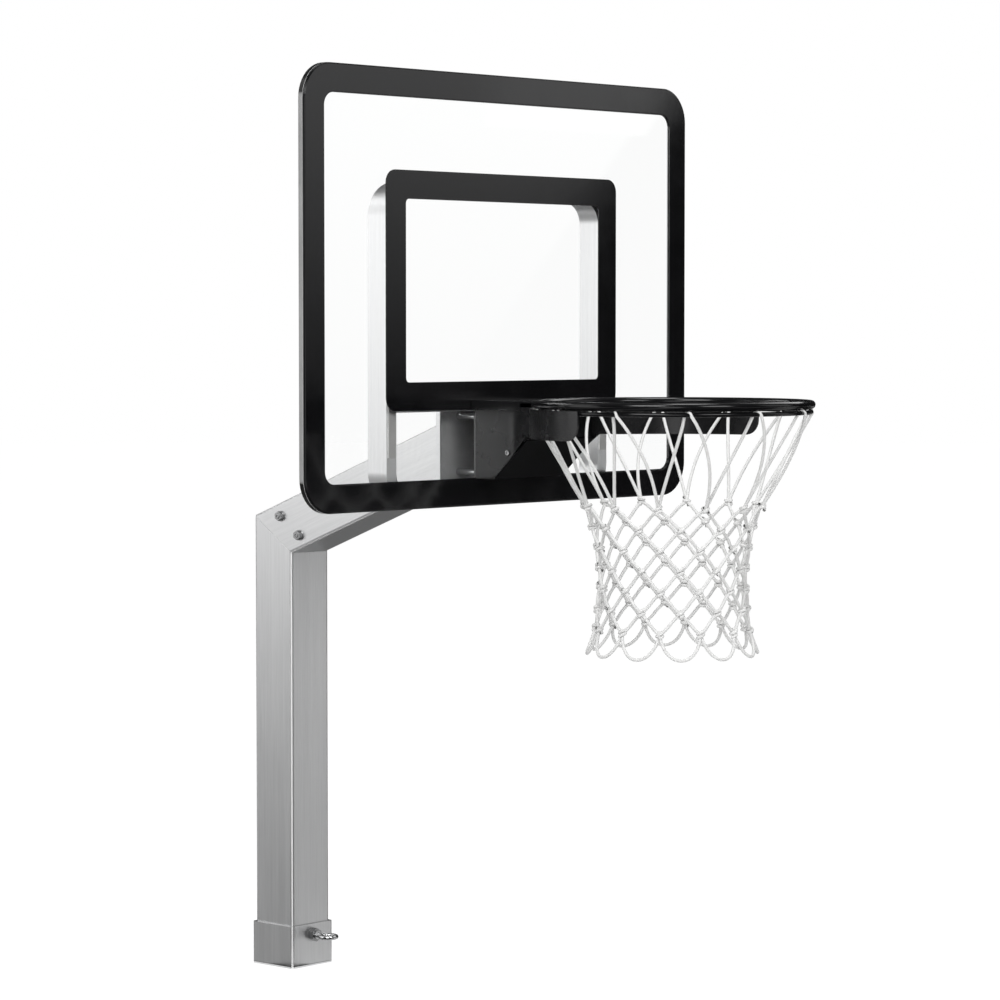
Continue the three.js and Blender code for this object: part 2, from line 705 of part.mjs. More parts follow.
function springPoints(side) {
  const count = spring.turns * spring.steps;
  const front = springEnd + spring.wire + seat;
  const back = yokeFront - spring.wire - seat;
  return Array.from({ length: count + 1 }, (_, i) => {
    const angle = (i * 2 * Math.PI) / spring.steps;
    return new THREE.Vector3(
      side * rod.across + spring.radius * Math.cos(angle),
      back + ((front - back) * i) / count,
      rodHeight + spring.radius * Math.sin(angle),
    );
  });
}

function springSolid(side) {
  const points = springPoints(side);
  return cordSolid(points, points.map(() => spring.wire), spring.sides);
}

// The least gap between the spring's turns, measured on its centre line
function springGap() {
  const points = springPoints(1);
  let least = Infinity;
  for (let i = 0; i < points.length; i += 1) {
    for (let j = i + spring.steps / 2; j < points.length; j += 1) {
      least = Math.min(least, points[i].distanceTo(points[j]) - 2 * spring.wire);
    }
  }
  return least;
}

function rodNutSolid(side) {
  const centre = [side * rod.across, rodHeight];
  const washerFront = springEnd - rodNut.washer;
  const washer = cylinder("y", rodNut.washerRadius, washerFront, springEnd, centre);
  const nut = hexagon("y", rodNut.flats, washerFront - rodNut.length, washerFront, centre);
  const bore = cylinder("y", rod.radius + threadFit, washerFront - overrun, springEnd + overrun, centre, 12);
  return washer.add(nut).subtract(bore);
}

// Side view of what the sloping cut takes off the housing's underside
const slantRise = slant.frontHeight - slant.rearHeight;
const slantRun = slant.frontDepth - slant.rearDepth;
const slantLength = Math.hypot(slantRise, slantRun);

function slantDepthAt(height) {
  return slant.rearDepth + ((height - slant.rearHeight) * slantRun) / slantRise;
}

function underCut() {
  const far = 2 * board.reach;
  return prism(
    "x",
    polygon([
      [-slantDepthAt(hood.base), hood.base],
      [-slantDepthAt(hood.base), hood.base - overrun],
      [-far, hood.base - overrun],
      [-far, wing.base],
      [-slantDepthAt(wing.base), wing.base],
    ]),
    -board.width / 2,
    board.width / 2,
  );
}

function rearCornerCut() {
  const edge = hood.rear + overrun;
  const low = hood.base - overrun;
  const square = block([-board.width / 2, hingeY, low], [board.width / 2, edge, hinge.height]);
  const swept = cylinder("x", cornerSweep.radius, -board.width, board.width, [hingeY, hinge.height], 32);
  return square.subtract(swept);
}

// Where a straight line from a point meets a circle round the ring's centre
function meetCircle(start, direction, radius) {
  const centre = new THREE.Vector2(0, -ring.reach);
  const offset = start.clone().sub(centre);
  const along = offset.dot(direction);
  const distance = -along - Math.sqrt(along * along - offset.lengthSq() + radius * radius);
  return start.clone().addScaledVector(direction, distance);
}

// One face of a side sheet from above: straight, flared outwards, then rolled
// round the ring. Inset measures from the outer face.
function sideFace(inset) {
  const bend = flare.length / Math.sin(flare.angle) + inset;
  const centre = new THREE.Vector2(hood.halfWidth - inset + bend, -flare.start);
  const points = [new THREE.Vector2(hood.halfWidth - inset, hood.rear)];
  for (let i = 0; i <= bendSteps; i += 1) {
    const angle = (flare.angle * i) / bendSteps;
    points.push(new THREE.Vector2(centre.x - bend * Math.cos(angle), centre.y - bend * Math.sin(angle)));
  }
  const direction = new THREE.Vector2(Math.sin(flare.angle), -Math.cos(flare.angle));
  const radius = wingOuter - inset;
  const meeting = meetCircle(points.at(-1), direction, radius);
  const startAngle = Math.atan2(meeting.y + ring.reach, meeting.x);
  for (let i = 0; i <= wing.steps; i += 1) {
    const angle = THREE.MathUtils.lerp(startAngle, wing.endAngle, i / wing.steps);
    points.push(new THREE.Vector2(radius * Math.cos(angle), radius * Math.sin(angle) - ring.reach));
  }
  return points;
}

function wingCornerCut() {
  const endY = wingOuter * Math.sin(wing.endAngle) - ring.reach;
  const square = block(
    [-board.width, endY - overrun, wing.base - overrun],
    [board.width, endY + wing.corner, wing.base + wing.corner],
  );
  const centre = [endY + wing.corner, wing.base + wing.corner];
  return square.subtract(cylinder("x", wing.corner, -2 * board.width, 2 * board.width, centre, 32));
}

function hoodSide(side) {
  const faces = [...sideFace(0), ...sideFace(hood.sheet).reverse()];
  const outline = polygon(faces.map((point) => [side * point.x, point.y]));
  const lidSpace = block(
    [-board.width, -lid.lipEnd - seat, hood.top],
    [board.width, hood.rear + overrun, wing.top + overrun],
  );
  const screwHole = cylinder("x", screw.radius + screw.clearance, -board.width, board.width, screwCentre());
  return without(prism("z", outline, hood.base, wing.top), [
    lidSpace, underCut(), rearCornerCut(), wingCornerCut(), screwHole,
  ]);
}

function hoodFront() {
  const beyond = hood.front - hood.frontSheet - flare.start - flare.length;
  const outerReach =
    hood.halfWidth + flare.length * Math.tan(flare.angle / 2) + beyond * Math.tan(flare.angle);
  const reach = outerReach - hood.sheet / Math.cos(flare.angle) - seat;
  return block([-reach, -hood.front, hood.frontBase], [reach, hood.frontSheet - hood.front, hood.top - seat]);
}

function screwCentre() {
  const along = screw.along / slantLength;
  return [
    -slant.rearDepth - slantRun * along + (slantRise * screw.inside) / slantLength,
    slant.rearHeight + slantRise * along + (slantRun * screw.inside) / slantLength,
  ];
}

// The lid: a flat top with turned-down sides, its front edge round the ring
function lidSolid() {
  const body = block([-lid.halfWidth, -ring.reach, lid.base], [lid.halfWidth, lid.rear, lid.top]);
  const pocket = block(
    [-lid.halfWidth + lid.sheet, -2 * ring.reach, lid.base - overrun],
    [lid.halfWidth - lid.sheet, lid.rear + overrun, lid.top - lid.sheet],
  );
  const lipFront = block(
    [-board.width, -2 * ring.reach, lid.base - overrun],
    [board.width, -lid.lipEnd, lid.top - lid.sheet],
  );
  const ringSpaceRadius = (ring.radius + ring.rodRadius + seat) / Math.cos(Math.PI / ring.steps);
  const centre = [0, -ring.reach];
  const ringSpace = cylinder("z", ringSpaceRadius, lid.base - overrun, lid.top + overrun, centre, ring.steps);
  return without(body, [pocket, lipFront, ringSpace]);
}

function coverSolid() {
  const down = new THREE.Vector2(slantRun, -slantRise).divideScalar(slantLength);
  const inward = new THREE.Vector2(slantRise, slantRun).divideScalar(slantLength);
  const front = new THREE.Vector2(-slant.frontDepth, slant.frontHeight).addScaledVector(inward, -seat);
  const place = (along, depth) => {
    const point = front.clone().addScaledVector(down, along).addScaledVector(inward, depth);
    return [point.x, point.y];
  };
  const sheetOutline = polygon([
    place(0, 0), place(0, -cover.sheet), place(slantLength, -cover.sheet), place(slantLength, 0),
  ]);
  const sheet = prism("x", sheetOutline, -hood.halfWidth, hood.halfWidth);
  const flangeOutline = polygon([
    place(cover.endMargin, -cover.sheet / 2),
    place(slantLength - cover.endMargin, -cover.sheet / 2),
    place(slantLength - cover.endMargin, cover.flange + screw.radius),
    place(cover.endMargin, cover.flange + screw.radius),
  ]);
  const outer = hood.halfWidth - hood.sheet - cover.flangeGap;
  const flanges = sidedRanges(outer - cover.flangeSheet, outer).map(([from, to]) =>
    prism("x", flangeOutline, from, to),
  );
  const screwHoles = cylinder("x", screw.radius + screw.clearance, -board.width, board.width, screwCentre());
  return union([sheet, ...flanges]).subtract(screwHoles);
}

function coverScrew(side) {
  const face = side * (hood.halfWidth + seat);
  const headEnd = face + side * screw.headLength;
  const tip = face - side * screw.length;
  const centre = screwCentre();
  const shank = cylinder("x", screw.radius, Math.min(face, tip), Math.max(face, tip), centre, 12);
  const head = cylinder("x", screw.head, Math.min(face, headEnd), Math.max(face, headEnd), centre, 12);
  return shank.add(head);
}

function ringSolid() {
  return solidOf(new THREE.TorusGeometry(ring.radius, ring.rodRadius, ring.sides, ring.steps));
}

// The thin lower rod, with weld tabs that reach up to the ring between the loops
function wireSolid() {
  const hoop = new THREE.TorusGeometry(ring.radius, wire.radius, wire.sides, wire.steps);
  hoop.translate(0, 0, -wireDrop);
  const tabs = Array.from({ length: net.loops }, (_, i) => {
    const angle = (i * 2 * Math.PI) / net.loops;
    const centre = [ring.radius * Math.cos(angle), ring.radius * Math.sin(angle)];
    return cylinder("z", wire.tabRadius, -wireDrop, -ring.rodRadius - seat, centre, wire.tabSides);
  });
  return union([solidOf(hoop), ...tabs]);
}

function onCircle(radius, turn, height) {
  const angle = (turn * 2 * Math.PI) / net.loops;
  return new THREE.Vector3(radius * Math.cos(angle), radius * Math.sin(angle), height);
}

// The net's radius at a row of knots: in from the first row to the waist, out to the last
function rowRadius(row) {
  const aboveShare = (row - 1) / (waistRowShare - 1);
  const belowShare = (row - waistRowShare) / (net.rows - waistRowShare);
  const share = row < waistRowShare ? aboveShare : belowShare;
  const eased = share * share * (3 - 2 * share);
  return row < waistRowShare
    ? THREE.MathUtils.lerp(net.kneeRadius, net.waistRadius, Math.sqrt(share * eased + share * (1 - share)))
    : THREE.MathUtils.lerp(net.waistRadius, net.lastRadius, share * share);
}

function rowHeight(row) {
  return -net.firstKnot - net.rowPitch * (row - 1);
}

function knotPlace(row, turn) {
  return onCircle(rowRadius(row), turn, rowHeight(row));
}

// A loop over the lower rod, from one knot of the first row to the next
function topLoop(turn) {
  const top = -wireDrop;
  const crest = wire.radius + wire.gap / 2;
  const shoulder = crest * shoulderShare;
  const side = wire.radius + 2 * net.pinched;
  const points = [
    knotPlace(1, turn - halfShare),
    onCircle(ring.radius - side, turn - net.leanShare, top - crest - net.cord),
    onCircle(ring.radius - side, turn - net.leanShare * halfShare, top),
    onCircle(ring.radius - shoulder, turn - net.leanShare * halfShare, top + shoulder),
    onCircle(ring.radius, turn, top + crest),
    onCircle(ring.radius + shoulder, turn + net.leanShare * halfShare, top + shoulder),
    onCircle(ring.radius + side, turn + net.leanShare * halfShare, top),
    onCircle(ring.radius + shoulder, turn + net.leanShare, top - wire.radius - net.cord),
    knotPlace(1, turn + halfShare),
  ];
  const { cord, pinched } = net;
  const radii = [cord, cord, pinched, pinched, pinched, pinched, pinched, cord, cord];
  return cordSolid(points, radii, 4);
}

// A hanging loop between two knots of the last row
function tailLoop(turn) {
  const low = rowHeight(net.rows) - net.tailLoop;
  const leanShare = 0.12;
  const points = [
    knotPlace(net.rows, turn - halfShare),
    onCircle(net.hemRadius - net.cord, turn - leanShare, low + net.tailLoop / 4),
    onCircle(net.hemRadius, turn, low),
    onCircle(net.hemRadius - net.cord, turn + leanShare, low + net.tailLoop / 4),
    knotPlace(net.rows, turn + halfShare),
  ];
  return cordSolid(points, points.map(() => net.cord), 3);
}

// The four places that a knot's cords come from, anticlockwise seen from outside
const portSteps = [[-1, halfShare], [-1, -halfShare], [1, -halfShare], [1, halfShare]];

// One end of a cord at its knot: three corners, the first on the outside
function portCorners(row, turn, [rowStep, turnStep]) {
  const place = knotPlace(row, turn);
  const outward = new THREE.Vector3(place.x, place.y, 0).normalize();
  const beyond = onCircle(
    rowRadius(THREE.MathUtils.clamp(row + rowStep, 1, net.rows)), turn + turnStep, rowHeight(row + rowStep),
  );
  const along = beyond.sub(place).normalize();
  outward.addScaledVector(along, -outward.dot(along)).normalize();
  const across = along.clone().cross(outward);
  const centre = place.addScaledVector(along, net.knot);
  return [0, 1, 2].map((k) => {
    const angle = (k * 2 * Math.PI) / 3;
    const corner = centre.clone().addScaledVector(outward, net.cord * Math.cos(angle));
    return corner.addScaledVector(across, net.cord * Math.sin(angle));
  });
}

// The diamond mesh of cords, every knot joined to its neighbours in one skin
function latticeSolid() {
  const positions = [];
  const faces = [];
  const cornerOf = (row, i, port, k) => {
    const knot = (row - 1) * net.loops + ((i + net.loops) % net.loops);
    return knot * 12 + (((port + 4) % 4) * 3) + k;
  };
  for (let row = 1; row <= net.rows; row += 1) {
    const shift = row % 2 === 1 ? 0 : 1;
    for (let i = 0; i < net.loops; i += 1) {
      portSteps.forEach((step) => {
        const corners = portCorners(row, i + shift * halfShare, step);
        corners.forEach((corner) => positions.push(...corner.toArray()));
      });
      const at = (port, k) => cornerOf(row, i, port, k);
      faces.push(at(0, 0), at(1, 0), at(2, 0), at(0, 0), at(2, 0), at(3, 0));
      const back = [];
      for (let port = 0; port < 4; port += 1) {
        faces.push(at(port + 1, 0), at(port, 0), at(port, 2));
        faces.push(at(port + 1, 0), at(port, 2), at(port + 1, 1));
        back.unshift(at(port, 2), at(port, 1));
      }
      for (let k = 1; k < back.length - 1; k += 1) {
        faces.push(back[0], back[k], back[k + 1]);
      }
      const ends = [row === 1 ? [0, 1] : [], row === net.rows ? [2, 3] : []].flat();
      ends.forEach((port) => faces.push(at(port, 0), at(port, 1), at(port, 2)));
      if (row < net.rows) {
        [[2, 0, i + shift - 1], [3, 1, i + shift]].forEach(([port, farPort, farKnot]) => {
          const near = [0, 1, 2].map((k) => at(port, k));
          const far = [0, 2, 1].map((k) => cornerOf(row + 1, farKnot, farPort, k));
          [0, 1, 2].forEach((k) => {
            const next = (k + 1) % 3;
            faces.push(near[k], near[next], far[next], near[k], far[next], far[k]);
          });
        });
      }
    }
  }
  const geometry = new THREE.BufferGeometry();
  geometry.setAttribute("position", new THREE.Float32BufferAttribute(positions, 3));
  geometry.setIndex(faces);
  return solidOf(geometry);
}

function netSolid() {
  const hemTurn = net.rows % 2 === 0 ? 0 : halfShare;
  const loops = Array.from({ length: net.loops }, (_, i) => [topLoop(i + halfShare), tailLoop(i + hemTurn)]);
  return union([latticeSolid(), ...loops.flat()]);
}

// The scene: the sleeve and post stand at the origin, the backboard's group
// hangs from the arm, and the ring's group lies at the ring's centre.
const hoop = new THREE.Group();
const backboard = new THREE.Group();
backboard.position.set(0, -board.reach, board.lift);
const ringGroup = new THREE.Group();
ringGroup.position.set(0, -ring.reach, ring.height);
backboard.add(ringGroup);
hoop.add(backboard);

hoop.add(
  piece("deck_sleeve", deckSleeve(), materials.brushedSteel),
  piece("clamp_boss", clampBoss(), materials.brightSteel),
  piece("clamp_pad", clampPad(), materials.blackRubber),
  piece("eye_bolt", eyeBoltSolid(), materials.brightSteel),
  piece("post_foot", postFoot(), materials.blackRubber),
  piece("post_tube", postTube(), materials.brushedSteel),
  piece("elbow_insert", elbowInsert(), materials.brushedSteel),
  piece("arm_tube", armTube(), materials.brushedSteel),
);
elbowBoltPlaces.forEach(([name, centre]) => {
  hoop.add(piece(`elbow_bolt_${name}`, elbowBoltSolid(centre), materials.brightSteel));
  hoop.add(piece(`elbow_nut_${name}`, elbowNut(centre), materials.brightSteel));
});

backboard.add(
  piece("arm_flange", plateSolid(flangeFront, flangeBack), materials.brushedSteel),
  piece("backing_plate", plateSolid(tubeBack, flangeFront), materials.blackSatin),
  piece("support_loop", supportLoop(), materials.brushedSteel),
  piece("support_crossbar", supportCrossbar(), materials.brushedSteel),
  piece("loop_bolt_left", loopBoltSolid(loopBoltCentres[0]), materials.brightSteel),
  piece("loop_bolt_right", loopBoltSolid(loopBoltCentres[1]), materials.brightSteel),
  piece("pad_strip_left", padStripSolid(-1), materials.paleVinyl),
  piece("pad_strip_right", padStripSolid(1), materials.paleVinyl),
  piece("acrylic_panel", panelSolid(), materials.clearAcrylic),
  piece("border_frame", borderSolid(), materials.blackGloss),
  piece("target_square", targetSolid(), materials.blackFlat),
  piece("rim_gasket", gasketSolid(), materials.blackRubber),
  piece("rim_mount", mountSolid(), materials.blackSatin),
  piece("hinge_pin", hingePin(), materials.brightSteel),
);
studPlaces.forEach(([name, x, z]) => {
  backboard.add(piece(`target_nut_${name}`, studNut(x, z), materials.brightSteel));
});
boltPlaces.forEach(([name, x, z]) => {
  backboard.add(
    piece(`rim_bolt_${name}`, rimBoltSolid(x, z), materials.brightSteel),
    piece(`rim_spacer_${name}`, spacerSolid(x, z), materials.brightSteel),
    piece(`rim_nut_${name}`, rimNut(x, z), materials.brightSteel),
  );
});
[["left", -1], ["right", 1]].forEach(([name, side]) => {
  backboard.add(
    piece(`rim_spring_${name}`, springSolid(side), materials.brightSteel),
    piece(`rod_nut_${name}`, rodNutSolid(side), materials.brightSteel),
    piece(`rim_bumper_${name}`, bumperSolid(side), materials.blackRubber),
    piece(`cover_screw_${name}`, coverScrew(side), materials.brightSteel),
  );
});
backboard.add(
  piece("rim_yoke", yokeSolid(), materials.blackSatin),
  piece("rim_side_left", hoodSide(-1), materials.blackGloss),
  piece("rim_side_right", hoodSide(1), materials.blackGloss),
  piece("rim_front", hoodFront(), materials.blackGloss),
  piece("rim_lid", lidSolid(), materials.blackGloss),
  piece("rim_cover", coverSolid(), materials.blackGloss),
);
ringGroup.add(
  piece("rim_ring", ringSolid(), materials.blackGloss),
  piece("rim_wire", wireSolid(), materials.blackGloss),
  piece("net", netSolid(), materials.whiteCord),
);

console.log(`least gap between the turns of a rim spring: ${springGap().toFixed(2)} mm`);

export default hoop;
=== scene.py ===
"""Poolside basketball hoop: finished pieces, materials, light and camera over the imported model."""

import math

import bmesh
import bpy
from bpy.props import FloatProperty, FloatVectorProperty, IntProperty, PointerProperty
from mathutils import Matrix, Vector


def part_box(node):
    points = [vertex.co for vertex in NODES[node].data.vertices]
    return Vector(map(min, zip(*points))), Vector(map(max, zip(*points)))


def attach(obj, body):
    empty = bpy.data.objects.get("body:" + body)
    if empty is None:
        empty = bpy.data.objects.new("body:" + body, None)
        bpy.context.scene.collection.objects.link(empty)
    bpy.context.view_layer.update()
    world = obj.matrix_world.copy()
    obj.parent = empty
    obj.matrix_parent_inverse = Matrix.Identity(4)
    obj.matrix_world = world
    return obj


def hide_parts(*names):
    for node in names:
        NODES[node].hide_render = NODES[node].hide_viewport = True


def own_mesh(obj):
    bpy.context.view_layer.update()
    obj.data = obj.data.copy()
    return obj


bl_info = {
    "name": "Poolside basketball hoop",
    "version": (1, 0, 0),
    "blender": (4, 5, 0),
    "location": "3D View > Sidebar > Hoop",
    "description": "Dresses the poolside basketball hoop and lights it",
    "category": "Add Mesh",
}

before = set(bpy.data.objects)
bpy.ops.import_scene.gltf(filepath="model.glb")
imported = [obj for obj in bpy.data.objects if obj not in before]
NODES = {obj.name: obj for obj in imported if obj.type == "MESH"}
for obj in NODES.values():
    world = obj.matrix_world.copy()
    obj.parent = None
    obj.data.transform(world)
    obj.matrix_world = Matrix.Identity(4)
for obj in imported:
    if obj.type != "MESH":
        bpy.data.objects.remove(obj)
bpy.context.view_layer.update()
SIDES = ("left", "right")
CORNERS = ("left_lower", "right_lower", "left_upper", "right_upper")


def middle_of(node):
    """The middle of a CAD node's box"""
    low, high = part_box(node)
    return (low + high) / 2


def span_of(node):
    """The size of a CAD node's box"""
    low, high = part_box(node)
    return high - low


# Ring and the lower rod that carries the net, in metres, heights from the ring's middle
RING_CENTRE = middle_of("rim_ring")
RING_ROD = span_of("rim_ring").z / 2
RING_RADIUS = span_of("rim_ring").x / 2 - RING_ROD
LOWER_ROD, LOWER_DROP = 0.0032, 0.01354
LOWER_FULLER, LOWER_RAISED = 0.0008, 0.0006
TAB_RADIUS, TAB_OVERLAP = 0.0019, 0.0016
RING_SIDES, LOWER_SIDES, TAB_SIDES = 24, 14, 10

# Net: radii at the first knots, at the waist, at the last knots and at the hem
KNEE, WAIST, LAST, HEM = 0.158, 0.129, 0.137, 0.151
LOOPS, ROWS, WAIST_ROW = 12, 7, 4.3
HEM_DROP, SLACK, CORD_SIDES = 0.043, 0.0012, 10
INNER_STEPS, OUTER_STEPS, STRAND_STEPS, HEM_STEPS, KNOT_STEPS = 12, 13, 8, 18, 22

# Turns about the ring's axis, in steps from one loop to the next: to the knots beside a loop, and
# to where its cord leaves the lower rod inside, passes over it and leaves it outside
HALF, INNER_TURN, OVER_TURN, OUTER_TURN = 0.5, 0.04, 0.045, 0.05
INNER_DROP, OUTER_DROP = 0.004, 0.002
OVER_ANGLES = (150, 120, 90, 60, 30)

# How the strands curve, as given shares and powers
OVER_SHARE, STRAND_BEND_SHARE = 0.75, 0.03
INNER_POWER, INNER_BULGE_SHARE = 1.35, 0.1
OUTER_POWER, OUTER_SAG_SHARE = 0.92, 0.22
HEM_POWER, HEM_EVEN_SHARE = 0.8, 0.6

# Knots: a coil's height, turns, radius in cord radii and lean, and the part of a turn that it
# starts later in each row and each loop
KNOT_HEIGHT, KNOT_TURNS, KNOT_SPREAD, KNOT_LEAN = 0.011, 1.7, 1.75, 0.35
ROW_START, LOOP_START = 0.2, 0.37

# Cord near the lower rod: how near, and the share of its thickness that is left
NEAR_ROD, INSIDE_ROD, ABOVE_ROD = 0.0035, 0.0015, -0.001
SQUEEZED_SHARE, THINNED_SHARE = 0.45, 0.8

# Edges: welding distance, angle within which faces count as flat and angle that counts as sharp
WELD, FLAT_WITHIN, SHARP = 2e-6, 0.6, 32
SHARP_BORDER, SHARP_EYE, SHARP_COIL = 25, 50, 60

# How far each kind of piece has its hard edges eased, in metres
SHEET_EASE, THIN_EASE, SMALL_EASE, BOLT_EASE, BLOCK_EASE = 0.0003, 0.0004, 0.0005, 0.0006, 0.0007
PLATE_EASE, BORDER_EASE, BAR_EASE, LOOP_EASE, SLEEVE_EASE = 0.0008, 0.0009, 0.001, 0.0015, 0.002

# How far a normal points along X or Y: on an end face, and on the faces of panel and border that get
# the painted grey edge
END_FACING, PANEL_FACING, BORDER_FACING = 0.99, 0.3, -0.98

# Sockets: the rim left round them and their depth, and the narrowing of their walls
ELBOW_SOCKET, COVER_SOCKET = (0.0022, 0.0016), (0.0021, 0.0015)
SOCKET_TAPER = 0.0001

# Brushing: the arm's slope and how long the streaks are drawn; and the painted highlight on rounded
# corners: where it starts and ends, how much less metallic it makes them and its pale greys
ARM_ANGLE = math.radians(20.9)
STREAK = 0.02
HIGHLIGHT_FROM, HIGHLIGHT_TO, HIGHLIGHT_DULLING = 0.45, 1.0, 0.75
CORNER_HIGHLIGHT, ARM_CORNER_HIGHLIGHT = 0.8, 0.5

# Dull steel as a share of bright steel
DULL_SHARE = 0.55

# Greys, and how far a normal points along X where the polished edge turns from its painted dark to its
# painted grey
# The backing plate's grey is a paler copy of the satin grey, painted light on a black plate
SATIN_GREY, PLATE_PAINTED_LIGHT_GREY = (0.13, 0.13, 0.132), (0.175, 0.175, 0.177)
EDGE_PAINTED_DARK, EDGE_PAINTED_LOW, EDGE_PAINTED_HIGH = (0.004, 0.004, 0.004), (0.2, 0.2, 0.2), (0.27, 0.27, 0.27)
EDGE_CORNER, EDGE_FLAT = 0.985, 0.998
RUBBER_LOW, RUBBER_HIGH = (0.02, 0.02, 0.02), (0.045, 0.045, 0.044)
VINYL_LOW, VINYL_HIGH = (0.47, 0.47, 0.465), (0.53, 0.53, 0.525)
FLOOR_LOW, FLOOR_HIGH = (0.8, 0.8, 0.8), (0.82, 0.82, 0.82)

# Braid: the length of a plait in metres and how many lie round the cord
PLAIT_PITCH, PLAITS = 0.0062, 4

# Stage: lengths in metres, strengths of glow, and shares
SENSOR_MM, SIGHT = 36, 100
FLOOR_RADIUS, FLOOR_STEPS, FLOOR_DROP = 30, 96, 0.0005
FLOOR_SEEN_SHARE, FLOOR_GLOW = 0.86, 1.1
LIGHT_AIM = Vector((0, -0.5, 1.0))
FILL_SHARE, TOP_SHARE = 0.45, 0.35
TENT_RADIUS, TENT_LOW, TENT_HIGH = 9, 4.0, 8.6
TENT_DARK, TENT_LIT = 0.02, 0.22
CARD_WALL, CARD_GAP = -3.563, 0.05


# Settings


class HoopMetalSettings(bpy.types.PropertyGroup):
    """Steel and fasteners"""

    steel: FloatVectorProperty(
        name="Brushed steel", description="Colour of the tubes",
        default=(0.683, 0.686, 0.69), min=0, max=1, size=3, subtype="COLOR",
    )
    bright: FloatVectorProperty(
        name="Bright steel", description="Colour of bolts, nuts and spacers",
        default=(0.62, 0.625, 0.63), min=0, max=1, size=3, subtype="COLOR",
    )
    edge: FloatProperty(
        name="Tube edge", description="Rounding of cut tube edges",
        default=0.0012, min=0, unit="LENGTH", precision=4,
    )


class HoopBoardSettings(bpy.types.PropertyGroup):
    """Backboard and rim finish"""

    black: FloatVectorProperty(
        name="Gloss black", description="Colour of border, target and rim",
        default=(0.0035, 0.0035, 0.004), min=0, max=1, size=3, subtype="COLOR",
    )
    clear: FloatVectorProperty(
        name="Clear acrylic", description="Tint of the panel",
        default=(0.996, 1.0, 0.998), min=0, max=1, size=3, subtype="COLOR",
    )
    rod_steps: IntProperty(name="Ring steps", description="Steps round the ring", default=192, min=48)


class HoopNetSettings(bpy.types.PropertyGroup):
    """Net of knotted cord"""

    cord: FloatProperty(
        name="Cord radius", description="Radius of the net's cord",
        default=0.0029, min=0.0005, unit="LENGTH", precision=4,
    )
    white: FloatVectorProperty(
        name="Cord white", description="Colour of the cord",
        default=(0.65, 0.65, 0.645), min=0, max=1, size=3, subtype="COLOR",
    )
    first_knot: FloatProperty(
        name="First knots", description="Depth of the first knots below the ring",
        default=0.1787, unit="LENGTH", precision=4,
    )
    row_pitch: FloatProperty(
        name="Row pitch", description="Height between rows of knots",
        default=0.0362, unit="LENGTH", precision=4,
    )


class HoopStageSettings(bpy.types.PropertyGroup):
    """Camera and light"""

    camera_place: FloatVectorProperty(
        name="Camera", description="Where the camera stands",
        default=(-4.7151, -4.7989, 1.2466), size=3, subtype="TRANSLATION",
    )
    camera_turn: FloatVectorProperty(
        name="Camera turn", description="Which way the camera looks",
        default=(math.radians(87.101), 0, math.radians(-47.958)), size=3, subtype="EULER",
    )
    lens: FloatProperty(name="Lens", description="Focal length in millimetres", default=124.31)
    ambient: FloatProperty(
        name="Ambient", description="Strength of the light from all round", default=0.5,
    )
    key: FloatProperty(name="Key light", description="Power of the key light in watts", default=190)


# Finishes


